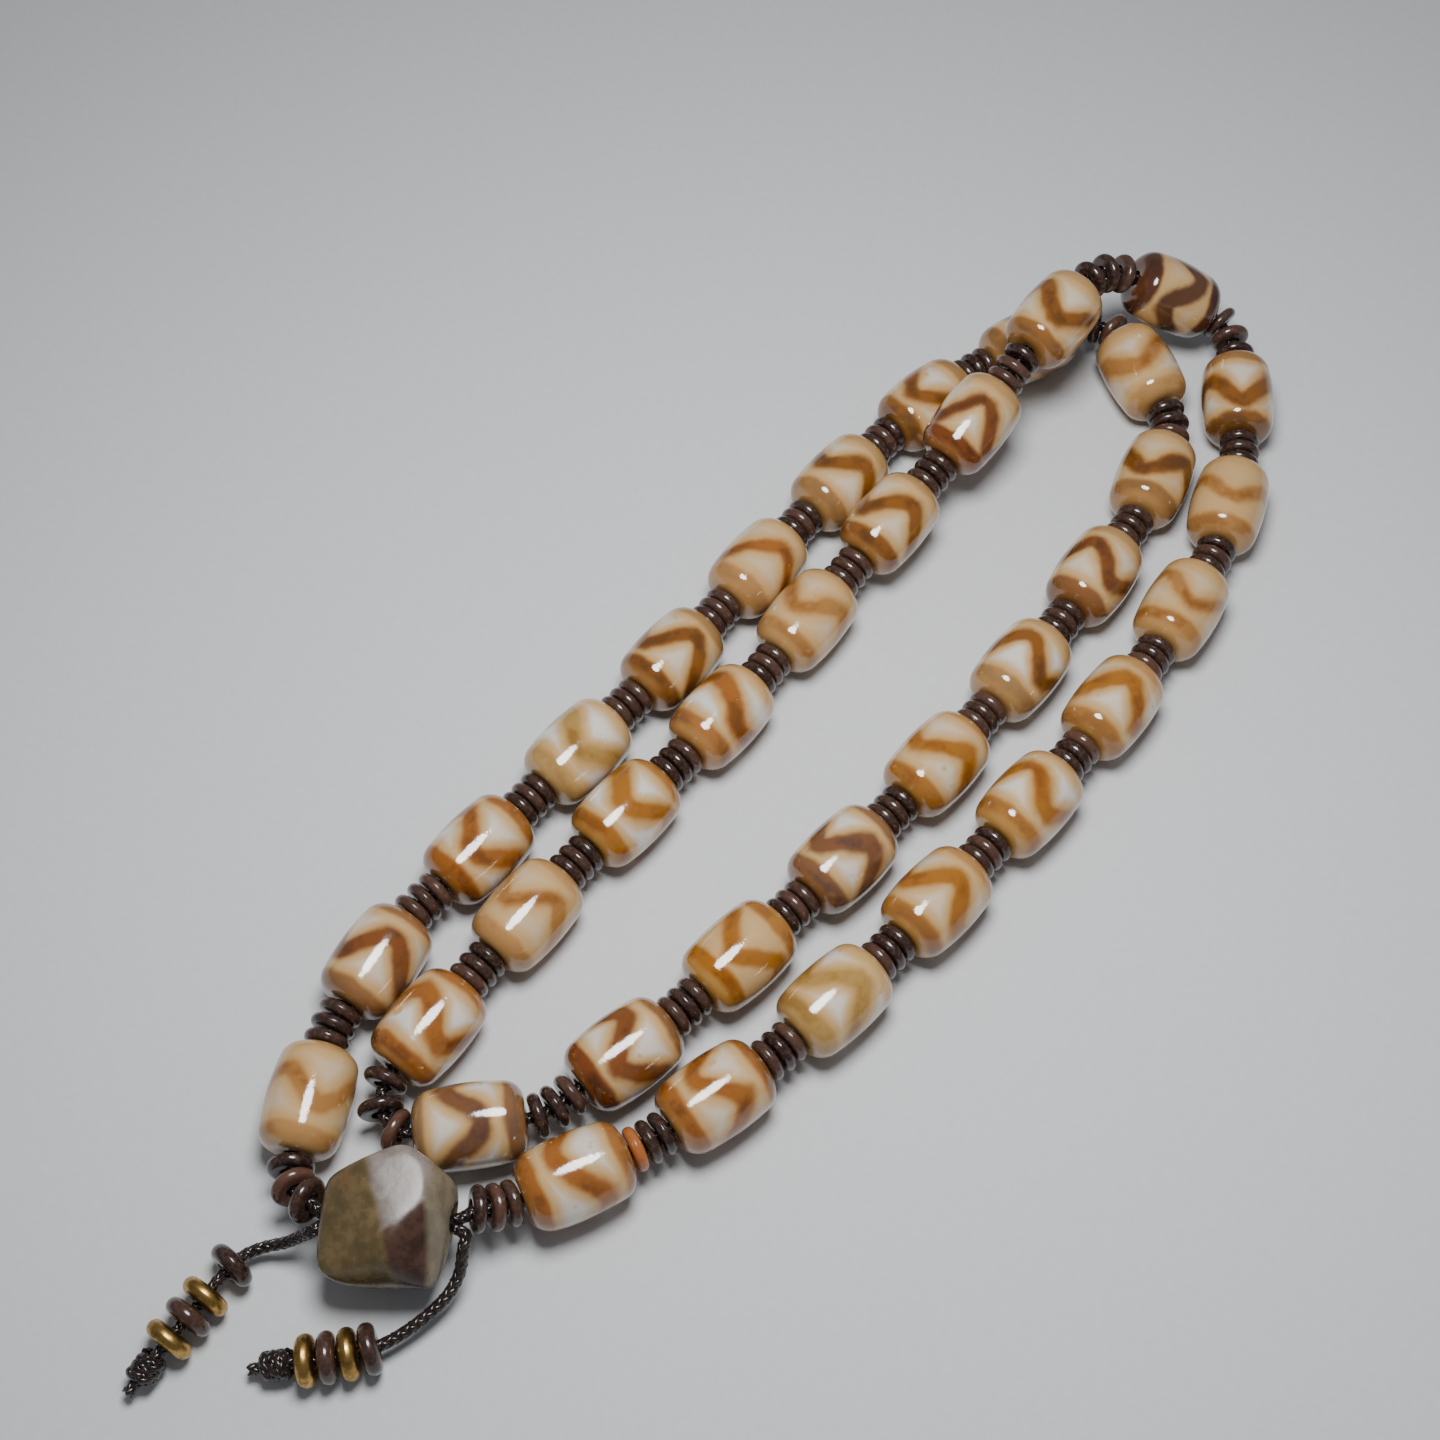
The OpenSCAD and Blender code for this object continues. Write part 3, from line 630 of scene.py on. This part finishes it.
def bead_outline():
    """The bead's closed outline, as distance along the bead and from its axis, in millimetres."""
    corner = BEAD_LEN / 2 - BEAD_CORNER_R
    drop = BEAD_SWELL / 2
    barrel = (corner ** 2 + drop ** 2) / (2 * drop)
    deep = BEAD_D / 2 - barrel
    corner_out = deep + math.sqrt((barrel - BEAD_CORNER_R) ** 2 - corner ** 2)
    meet = math.atan2(corner, corner_out - deep)
    # The bore's edge is broken by a small bevel
    half = [(BEAD_LEN / 2 - 0.14, BEAD_BORE_R), (BEAD_LEN / 2 - 0.04, BEAD_BORE_R + 0.05),
            (BEAD_LEN / 2, BEAD_BORE_R + 0.18)]
    for i in range(9):
        a = math.pi / 2 + (meet - math.pi / 2) * i / 8
        half.append((corner + BEAD_CORNER_R * math.sin(a), corner_out + BEAD_CORNER_R * math.cos(a)))
    for i in range(1, 11):
        a = meet * (1 - i / 10)
        half.append((barrel * math.sin(a), deep + barrel * math.cos(a)))
    other = [(-x, r) for x, r in half[-2::-1]]
    return half + other + [(-2.0, BEAD_BORE_R), (2.0, BEAD_BORE_R)]


BEAD_OUTLINE = bead_outline()
BEAD_SIDES = 64
# Five shallow waves of grinding, 0.11 mm deep together, each about 11 mm long
GRIND_WAVES = 5
GRIND_DEEP = 0.011
GRIND_TURN = 0.55


def rounded_zigzag(turn):
    """A zigzag between -1 and 1 with rounded tips."""
    return np.arcsin(0.85 * np.cos(turn)) / math.asin(0.85)


def make_bead(number, centre, along, look, finish):
    """One turned bead with its own slight unevenness, and the lines its pattern follows written on its points."""
    waves, crest, middle, swing, half_wide, first_edge, last_edge, tone, first_band, last_band, milky = look
    chance = np.random.default_rng(500 + number)
    left = np.cross((0, 0, 1.0), along)
    left /= np.linalg.norm(left)
    up = np.cross(along, left)
    outline = np.array(BEAD_OUTLINE)
    turn = np.linspace(0, 2 * math.pi, BEAD_SIDES, endpoint=False)
    x = np.repeat(outline[:, 0], BEAD_SIDES)
    r = np.repeat(outline[:, 1], BEAD_SIDES)
    a = np.tile(turn, len(outline))
    # Hand-ground unevenness is always inwards
    dip = np.zeros_like(x)
    for _ in range(GRIND_WAVES):
        way = chance.normal(size=3)
        way /= np.linalg.norm(way)
        across = BEAD_D / 2 * (way[1] * np.sin(a) + way[2] * np.cos(a))
        dip += GRIND_DEEP * (1 + np.sin(GRIND_TURN * (way[0] * x + across) + chance.uniform(0, 6.28)))
    # It fades out over the ends towards the bore
    outside = np.clip((r - BEAD_BORE_R - 0.3) / 1.5, 0, 1)
    r = r - dip * outside
    local = np.stack([x, r * np.sin(a), r * np.cos(a)], 1)
    places = centre + local @ np.array([along, left, up])
    rows = len(outline)
    faces = [(i * BEAD_SIDES + j, i * BEAD_SIDES + (j + 1) % BEAD_SIDES,
              (i + 1) % rows * BEAD_SIDES + (j + 1) % BEAD_SIDES, (i + 1) % rows * BEAD_SIDES + j)
             for i in range(rows) for j in range(BEAD_SIDES)]
    piece = mesh_object("dzi_bead_%02d_polished" % number, places, faces)
    outward(piece)
    phase = waves * (a - math.radians(crest))
    line = middle + swing * rounded_zigzag(phase)
    step = 0.01
    rise = swing * (rounded_zigzag(phase + step) - rounded_zigzag(phase - step)) / (2 * step)
    slope = rise * waves / (BEAD_D / 2)
    shift = chance.uniform(-40, 40, 3)
    paint(piece, "bead_place", "FLOAT_VECTOR", local + shift)
    paint(piece, "bead_line", "FLOAT_VECTOR", np.stack([x, line, 1 / np.sqrt(1 + slope ** 2)], 1))
    ones = np.ones_like(x)
    paint(piece, "bead_ends", "FLOAT_VECTOR", np.stack([first_edge * ones, last_edge * ones, half_wide * ones], 1))
    paint(piece, "bead_bands", "FLOAT_VECTOR", np.stack([first_band * ones, last_band * ones, milky * ones], 1))
    for name, code in zip(("dye_band", "dye_deep", "dye_end"), DYE[tone]):
        paint(piece, name, "FLOAT_COLOR", np.tile(linear(code), (len(x), 1)))
    piece.data.materials.append(finish)
    return piece


def banded_agate():
    """Etched and dyed agate, tumble polished: milky and slightly see-through, with soft-edged amber bands."""
    material, tree, shader = new_material("polished_dyed_agate")
    place = put(tree, "ShaderNodeAttribute", attribute_name="bead_place").outputs["Vector"]
    line, ends, bands = (
        put(tree, "ShaderNodeSeparateXYZ",
            put(tree, "ShaderNodeAttribute", attribute_name=name).outputs["Vector"]).outputs
        for name in ("bead_line", "bead_ends", "bead_bands"))
    # Patterns are in millimetres: the dye creeps in lobes of about 3 mm and feathers over 0.5 mm
    lobes = put(tree, "ShaderNodeTexNoise", {"Vector": place, "Scale": 0.3, "Detail": 1.0})
    feather = put(tree, "ShaderNodeTexNoise", {"Vector": place, "Scale": 1.3, "Detail": 3.0, "Roughness": 0.55})
    wander = put(tree, "ShaderNodeMath ADD",
                 put(tree, "ShaderNodeMath MULTIPLY", put(tree, "ShaderNodeMath SUBTRACT", lobes, 0.5), 1.6),
                 put(tree, "ShaderNodeMath MULTIPLY", put(tree, "ShaderNodeMath SUBTRACT", feather, 0.5), 0.45))
    along = put(tree, "ShaderNodeMath ADD", line[0], wander)
    away = put(tree, "ShaderNodeMath MULTIPLY",
               put(tree, "ShaderNodeMath ABSOLUTE", put(tree, "ShaderNodeMath SUBTRACT", along, line[1])), line[2])
    edge = put(tree, "ShaderNodeMath SUBTRACT", away, ends[2])
    wave = put(tree, "ShaderNodeMapRange", edge, 0.55, -0.5, interpolation_type="SMOOTHSTEP")
    small = put(tree, "ShaderNodeMath ADD", line[0], put(tree, "ShaderNodeMath MULTIPLY", wander, 0.55))
    past_first = put(tree, "ShaderNodeMath SUBTRACT", ends[0], small)
    past_last = put(tree, "ShaderNodeMath SUBTRACT", small, ends[1])
    past = put(tree, "ShaderNodeMath MAXIMUM", past_first, past_last)
    strength = put(tree, "ShaderNodeMix",
                   {0: put(tree, "ShaderNodeMath GREATER_THAN", line[0], 0.0), 2: bands[0], 3: bands[1]},
                   data_type="FLOAT").outputs[0]
    end_part = put(tree, "ShaderNodeMath MULTIPLY",
                   put(tree, "ShaderNodeMapRange", past, -0.4, 0.4, interpolation_type="SMOOTHSTEP"),
                   put(tree, "ShaderNodeMath MINIMUM", strength, 1.0))
    cap = put(tree, "ShaderNodeMapRange", past, 1.3, 2.4, interpolation_type="SMOOTHSTEP")
    near = put(tree, "ShaderNodeMath MINIMUM", put(tree, "ShaderNodeMath SUBTRACT", away, ends[2]),
               put(tree, "ShaderNodeMath MULTIPLY", past, -1.0))
    cream = put(tree, "ShaderNodeMapRange", near, 2.1, 0.3, interpolation_type="SMOOTHSTEP")
    cloud = put(tree, "ShaderNodeTexNoise", {"Vector": place, "Scale": 0.42, "Detail": 2.0})
    cream = put(tree, "ShaderNodeMath MAXIMUM", cream,
                put(tree, "ShaderNodeMapRange", cloud, 0.62, 0.75, interpolation_type="SMOOTHSTEP"))
    cream = put(tree, "ShaderNodeMath SUBTRACT", 1.0,
                put(tree, "ShaderNodeMath MULTIPLY", put(tree, "ShaderNodeMath SUBTRACT", 1.0, cream), bands[2]))
    milk = put(tree, "ShaderNodeMix",
               {0: put(tree, "ShaderNodeMapRange", cloud, 0.35, 0.65, interpolation_type="SMOOTHSTEP"),
                6: linear("#D9CFBE"), 7: linear("#D6D4D0")}, data_type="RGBA").outputs[2]
    body = put(tree, "ShaderNodeMix", {0: cream, 6: milk, 7: linear("#C29C66")}, data_type="RGBA").outputs[2]
    # The dye is darker in the heart of a band, in some stretches of it more than in others
    heart = put(tree, "ShaderNodeMath MAXIMUM",
                put(tree, "ShaderNodeMapRange", edge, -0.1, -0.9, interpolation_type="SMOOTHSTEP"),
                put(tree, "ShaderNodeMath MULTIPLY",
                    put(tree, "ShaderNodeMapRange", past, 0.1, 0.8, interpolation_type="SMOOTHSTEP"),
                    put(tree, "ShaderNodeMapRange", past, 2.2, 1.4, interpolation_type="SMOOTHSTEP")))
    stretch = put(tree, "ShaderNodeTexNoise", {"Vector": place, "Scale": 0.22, "Detail": 2.0})
    deep = put(tree, "ShaderNodeMath MULTIPLY", heart,
               put(tree, "ShaderNodeMapRange",
                   put(tree, "ShaderNodeMath ADD", stretch, put(tree, "ShaderNodeMath MULTIPLY", feather, 0.3)),
                   0.55, 0.78, interpolation_type="SMOOTHSTEP"))
    dye = put(tree, "ShaderNodeMix",
              {0: deep, 6: put(tree, "ShaderNodeAttribute", attribute_name="dye_band").outputs["Color"],
               7: put(tree, "ShaderNodeAttribute", attribute_name="dye_deep").outputs["Color"]},
              data_type="RGBA").outputs[2]
    rim = put(tree, "ShaderNodeMix",
              {0: cap, 6: dye, 7: put(tree, "ShaderNodeAttribute", attribute_name="dye_end").outputs["Color"]},
              data_type="RGBA").outputs[2]
    colour = put(tree, "ShaderNodeMix", {0: end_part, 6: body, 7: rim}, data_type="RGBA").outputs[2]
    colour = put(tree, "ShaderNodeMix", {0: put(tree, "ShaderNodeMath MULTIPLY", wave, 0.95), 6: colour, 7: dye},
                 data_type="RGBA").outputs[2]
    # A few pits and specks, about 0.25 mm wide
    specks = put(tree, "ShaderNodeTexVoronoi", {"Vector": place, "Scale": 0.28, "Randomness": 1.0})
    speck = put(tree, "ShaderNodeMapRange", specks.outputs["Distance"], 0.045, 0.02,
                interpolation_type="SMOOTHSTEP")
    colour = put(tree, "ShaderNodeMix",
                 {0: put(tree, "ShaderNodeMath MULTIPLY", speck, 0.3), 6: colour, 7: linear("#6B4526")},
                 data_type="RGBA").outputs[2]
    tree.links.new(colour, shader.inputs["Base Color"])
    # Hand polish leaves a faint waviness a millimetre apart, which frays the edge of a highlight
    wavy = put(tree, "ShaderNodeTexNoise", {"Vector": place, "Scale": 1.3, "Detail": 3.0, "Roughness": 0.6})
    bump = put(tree, "ShaderNodeBump", {"Height": wavy, "Strength": 0.6, "Distance": 0.03 * MM})
    bump = put(tree, "ShaderNodeBump", {"Height": speck, "Strength": 0.5, "Distance": -0.05 * MM, "Normal": bump})
    tree.links.new(bump.outputs[0], shader.inputs["Normal"])
    rough = put(tree, "ShaderNodeMapRange", feather, 0.3, 0.75, 0.08, 0.15, interpolation_type="SMOOTHSTEP")
    tree.links.new(rough.outputs[0], shader.inputs["Roughness"])
    shader.inputs["IOR"].default_value = 1.54
    shader.inputs["Coat Weight"].default_value = 0.5
    shader.inputs["Coat Roughness"].default_value = 0.06
    tree.links.new(bump.outputs[0], shader.inputs["Coat Normal"])
    shader.inputs["Subsurface Weight"].default_value = 0.12
    shader.inputs["Subsurface Radius"].default_value = (1.0, 0.7, 0.45)
    shader.inputs["Subsurface Scale"].default_value = 1.2 * MM
    return material


AGATE_FINISH = banded_agate()
bead_centres, bead_ways = [], []
for number in range(1, BEAD_COUNT + 1):
    centre, axes = centre_and_axes(points_of("dzi_bead_%02d" % number))
    bead_centres.append(centre)
    bead_ways.append(axes[0])
for i in range(BEAD_COUNT):
    ahead = bead_centres[min(i + 1, BEAD_COUNT - 1)] - bead_centres[max(i - 1, 0)]
    if np.dot(bead_ways[i], ahead) < 0:
        bead_ways[i] = -bead_ways[i]
for i, look in enumerate(BEAD_LOOKS):
    bead = make_bead(i + 1, bead_centres[i], bead_ways[i], look, AGATE_FINISH)
    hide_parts("dzi_bead_%02d" % (i + 1))
    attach(bead, "root")


# ---------------------------------------------------------------- string

# How far the braid runs into a bead before the plain core takes over
BRAID_IN = 1.5


def string_spans():
    """The string's stretches between neighbouring beads, each through the discs that sit there."""
    right_mouth = np.array(GURU_MID) + GURU_ALONG * GURU_HALF_LEN
    left_mouth = np.array(GURU_MID) - GURU_ALONG * GURU_HALF_LEN
    starts = [right_mouth] + [c + w * BEAD_LEN / 2 for c, w in zip(bead_centres, bead_ways)]
    start_ways = [GURU_ALONG] + bead_ways
    stops = [c - w * BEAD_LEN / 2 for c, w in zip(bead_centres, bead_ways)] + [left_mouth]
    stop_ways = bead_ways + [GURU_ALONG]
    owners = [[] for _ in starts]
    for centre, _ in string_discs:
        reach = [np.linalg.norm(centre - a) + np.linalg.norm(centre - b) for a, b in zip(starts, stops)]
        owners[int(np.argmin(reach))].append(centre)
    spans = []
    for start, stop, way_in, way_out, own in zip(starts, stops, start_ways, stop_ways, owners):
        own = sorted(own, key=lambda c: float(np.linalg.norm(c - start)))
        spans.append(through([start - way_in * BRAID_IN, start, *own, stop, stop + way_out * BRAID_IN], steps=8))
    return spans


# The braid is a hair thinner than the CAD string, and inside the beads, where it can't be seen, is a plain core
BRAID_SHARE = 0.98
CORE_WIDE = 1.2
CORE_PAST = 0.4
braid = braid_on("string_braid", string_spans(), CORD_D * BRAID_SHARE)
core_reach = BEAD_LEN / 2 + CORE_PAST
core = [[centre - way * core_reach, centre, centre + way * core_reach] for centre, way in zip(bead_centres, bead_ways)]


def joined(name, meshes, finish):
    """Several meshes as one piece."""
    shape = bmesh.new()
    for mesh in meshes:
        shape.from_mesh(mesh)
    mesh = bpy.data.meshes.new(name)
    shape.to_mesh(mesh)
    shape.free()
    mesh.materials.append(finish)
    mesh.polygons.foreach_set("material_index", [0] * len(mesh.polygons))
    return placed(name, mesh)


string = joined("string_braided", [braid.data, round_bar("core_line", core, CORE_WIDE, resolution=1)], BRAID_FINISH)
bpy.data.objects.remove(braid)
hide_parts("string")
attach(string, "root")


# ---------------------------------------------------------------- guru bead

def guru_agate():
    """Worn nugget of taupe agate, polished: grey top, ochre shoulder, dark maroon front, soft glossy edges, and
    painted shade in maroon over the underside.
    """
    material, tree, shader = new_material("worn_taupe_agate")
    place = put(tree, "ShaderNodeAttribute", attribute_name="guru_place").outputs["Vector"]
    x, y, z = put(tree, "ShaderNodeSeparateXYZ", place).outputs
    broad = put(tree, "ShaderNodeTexNoise", {"Vector": place, "Scale": 0.16, "Detail": 2.0})
    cloud = put(tree, "ShaderNodeTexNoise", {"Vector": place, "Scale": 0.5, "Detail": 4.0, "Roughness": 0.55})
    drift = put(tree, "ShaderNodeMath MULTIPLY", put(tree, "ShaderNodeMath SUBTRACT", broad, 0.5), 5.0)
    veil = put(tree, "ShaderNodeMapRange", cloud, 0.35, 0.7, interpolation_type="SMOOTHSTEP")
    top = put(tree, "ShaderNodeMix", {0: veil, 6: linear("#6F665E"), 7: linear("#847A72")},
              data_type="RGBA").outputs[2]
    tan = put(tree, "ShaderNodeMix", {0: veil, 6: linear("#6A604F"), 7: linear("#7E735E")},
              data_type="RGBA").outputs[2]
    ochre = put(tree, "ShaderNodeMix", {0: veil, 6: linear("#54482F"), 7: linear("#6E5D40")},
                data_type="RGBA").outputs[2]
    maroon = put(tree, "ShaderNodeMix", {0: veil, 6: linear("#33221C"), 7: linear("#4E372D")},
                 data_type="RGBA").outputs[2]

    def beyond(across, back, start, low=-0.3, high=0.4):
        """Share of the stone beyond a facet's edge: that edge runs where across * x + back * y is start."""
        reach = put(tree, "ShaderNodeMath ADD", put(tree, "ShaderNodeMath MULTIPLY", x, across),
                    put(tree, "ShaderNodeMath MULTIPLY", y, back))
        return put(tree, "ShaderNodeMapRange",
                   put(tree, "ShaderNodeMath SUBTRACT",
                       put(tree, "ShaderNodeMath ADD", reach, put(tree, "ShaderNodeMath MULTIPLY", drift, 0.35)),
                       start), low, high, interpolation_type="SMOOTHSTEP")

    left = beyond(-0.95, -0.31, 0.92, -0.6, 0.5)
    rust = put(tree, "ShaderNodeMath MULTIPLY",
               put(tree, "ShaderNodeMath MULTIPLY", beyond(-0.44, 0.9, 2.4, 0.0, 2.5),
                   put(tree, "ShaderNodeMapRange", cloud, 0.42, 0.6, interpolation_type="SMOOTHSTEP")), 0.7)
    shoulder = put(tree, "ShaderNodeMix", {0: rust, 6: ochre, 7: linear("#70502E")}, data_type="RGBA").outputs[2]
    right = put(tree, "ShaderNodeMapRange",
                put(tree, "ShaderNodeMath ADD", x, put(tree, "ShaderNodeMath MULTIPLY", drift, 0.3)), 4.2, 5.0,
                interpolation_type="SMOOTHSTEP")
    low = put(tree, "ShaderNodeMath MULTIPLY", beyond(0.6, -0.8, 2.7),
              put(tree, "ShaderNodeMapRange",
                  put(tree, "ShaderNodeMath ADD", x, put(tree, "ShaderNodeMath MULTIPLY", drift, 0.4)), -2.6, -0.8,
                  interpolation_type="SMOOTHSTEP"))
    # Painted shade: below 4.5 mm the stone is darkened towards maroon, most at the floor, where the underside lies in
    # shade
    painted_shade_under = put(tree, "ShaderNodeMapRange", z, 4.5, 1.5, interpolation_type="SMOOTHSTEP")
    colour = put(tree, "ShaderNodeMix", {0: low, 6: top, 7: maroon}, data_type="RGBA").outputs[2]
    colour = put(tree, "ShaderNodeMix", {0: right, 6: colour, 7: tan}, data_type="RGBA").outputs[2]
    colour = put(tree, "ShaderNodeMix", {0: left, 6: colour, 7: shoulder}, data_type="RGBA").outputs[2]
    # The painted shade on the underside is mixed in at up to 0.7
    colour = put(tree, "ShaderNodeMix", {0: put(tree, "ShaderNodeMath MULTIPLY", painted_shade_under, 0.7), 6: colour, 7: maroon},
                 data_type="RGBA").outputs[2]
    spots = put(tree, "ShaderNodeTexVoronoi", {"Vector": place, "Scale": 0.16, "Randomness": 1.0})
    spot = put(tree, "ShaderNodeMapRange", spots.outputs["Distance"], 0.1, 0.04, interpolation_type="SMOOTHSTEP")
    colour = put(tree, "ShaderNodeMix",
                 {0: put(tree, "ShaderNodeMath MULTIPLY", spot, 0.6), 6: colour, 7: linear("#4A3020")},
                 data_type="RGBA").outputs[2]
    tree.links.new(colour, shader.inputs["Base Color"])
    wavy = put(tree, "ShaderNodeTexNoise", {"Vector": place, "Scale": 0.8, "Detail": 4.0, "Roughness": 0.6})
    bump = put(tree, "ShaderNodeBump", {"Height": wavy, "Strength": 0.4, "Distance": 0.05 * MM})
    bump = put(tree, "ShaderNodeBump", {"Height": spot, "Strength": 0.4, "Distance": -0.08 * MM, "Normal": bump})
    tree.links.new(bump.outputs[0], shader.inputs["Normal"])
    rough = put(tree, "ShaderNodeMapRange", cloud, 0.3, 0.75, 0.22, 0.32, interpolation_type="SMOOTHSTEP")
    tree.links.new(rough.outputs[0], shader.inputs["Roughness"])
    shader.inputs["IOR"].default_value = 1.54
    shader.inputs["Specular IOR Level"].default_value = 0.3
    shader.inputs["Subsurface Weight"].default_value = 0.2
    shader.inputs["Subsurface Radius"].default_value = (1.0, 0.7, 0.5)
    shader.inputs["Subsurface Scale"].default_value = 1.0 * MM
    return material


# Faces whose directions' cosine is above the first belong to one facet, and one below 4 square millimetres is
# part of a rounded edge
SAME_FACET = 0.9995
LEAST_FACET = 4


def facet_planes():
    """Outward directions of the CAD guru bead's flat facets, and how far each is from the bead's middle."""
    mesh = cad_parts["guru_bead"].data
    corners = points_of("guru_bead")
    middle = (corners.min(0) + corners.max(0)) / 2
    spread = {}
    for face in mesh.polygons:
        way = np.array(face.normal)
        for known in spread:
            if np.dot(known, way) > SAME_FACET:
                spread[known] += face.area
                break
        else:
            spread[tuple(way)] = face.area
    big = [np.array(way) for way, area in spread.items() if area > LEAST_FACET * MM * MM]
    return middle, np.array(big), np.array([np.max((corners - middle) @ way) for way in big])


def make_guru():
    """The guru bead: the CAD facets, each slightly pillowed and run softly into the next by years of wear."""
    middle, ways, depths = facet_planes()
    ball = bmesh.new()
    bmesh.ops.create_icosphere(ball, subdivisions=6, radius=1)
    rays = np.array([v.co[:] for v in ball.verts])
    rays /= np.linalg.norm(rays, axis=1)[:, None]
    reach = np.clip(rays @ ways.T, 0, None) / depths
    surface = middle + GURU_FULL * rays / ((reach ** GURU_CRISP).sum(1) ** (1 / GURU_CRISP))[:, None]
    surface[:, 2] = np.maximum(surface[:, 2], 0.0)
    for vert, place in zip(ball.verts, surface):
        vert.co = Vector(place) * MM
    mesh = bpy.data.meshes.new("guru_body")
    ball.to_mesh(mesh)
    ball.free()
    piece = placed("guru_body", mesh)
    reach = GURU_ALONG * DRILL_REACH
    drill = [np.array(GURU_MID) - reach, np.array(GURU_MID) + reach]
    cutter = placed("guru_cutter", round_bar("guru_drill", [drill], 2 * GURU_BORE_R, resolution=10))
    outward(cutter)
    cut = piece.modifiers.new("bore", "BOOLEAN")
    cut.operation, cut.solver, cut.object = "DIFFERENCE", "EXACT", cutter
    rounded = plain_mesh(piece)
    bpy.data.objects.remove(piece)
    bpy.data.objects.remove(cutter)
    piece = placed("guru_bead_worn", rounded)
    rounded.polygons.foreach_set("use_smooth", [True] * len(rounded.polygons))
    flat = np.empty(len(rounded.vertices) * 3)
    rounded.vertices.foreach_get("co", flat)
    local = (flat.reshape(-1, 3) / MM - (GURU_MID[0], GURU_MID[1], 0)) @ np.array(
        [GURU_ALONG, -GURU_FRONT, (0, 0, 1.0)]).T
    paint(piece, "guru_place", "FLOAT_VECTOR", local)
    rounded.materials.clear()
    rounded.materials.append(guru_agate())
    return piece


guru = make_guru()
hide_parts("guru_bead")
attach(guru, "root")


# ---------------------------------------------------------------- floor and light

def make_floor():
    """A plain pale floor."""
    half = 1500
    floor = mesh_object("floor", [(-half, -half, 0), (half, -half, 0), (half, half, 0), (-half, half, 0)],
                        [(0, 1, 2, 3)], smooth=False)
    material, tree, shader = new_material("pale_matt_floor")
    place = put(tree, "ShaderNodeTexCoord").outputs["Object"]
    grain = put(tree, "ShaderNodeTexNoise", {"Vector": place, "Scale": 900.0, "Detail": 3.0})
    colour = put(tree, "ShaderNodeMix", {0: grain, 6: linear("#C9CBCD"), 7: linear("#D3D5D7")}, data_type="RGBA")
    tree.links.new(colour.outputs[2], shader.inputs["Base Color"])
    shader.inputs["Roughness"].default_value = 0.85
    floor.data.materials.append(material)


# The lamp hangs over the middle of the loop
KEY_AT = Vector((2, -14, 226))
KEY_AIM = Vector((5, 0, 0))
KEY_WIDE = 90
KEY_WATTS = 0.68


def make_light():
    """One round soft lamp overhead, which gives each bead its single highlight, and a dim, cool surround."""
    light = bpy.data.lights.new("key", "AREA")
    light.shape, light.size, light.energy = "DISK", KEY_WIDE * MM, KEY_WATTS
    lamp = placed("key", light)
    lamp.location = KEY_AT * MM
    lamp.rotation_mode = "QUATERNION"
    lamp.rotation_quaternion = (KEY_AIM - KEY_AT).to_track_quat("-Z", "Y")
    world = bpy.data.worlds.new("studio")
    world.use_nodes = True
    surround = world.node_tree.nodes["Background"].inputs
    surround["Color"].default_value, surround["Strength"].default_value = (0.9, 0.93, 1.0, 1), 0.2
    bpy.context.scene.world = world


make_floor()
make_light()
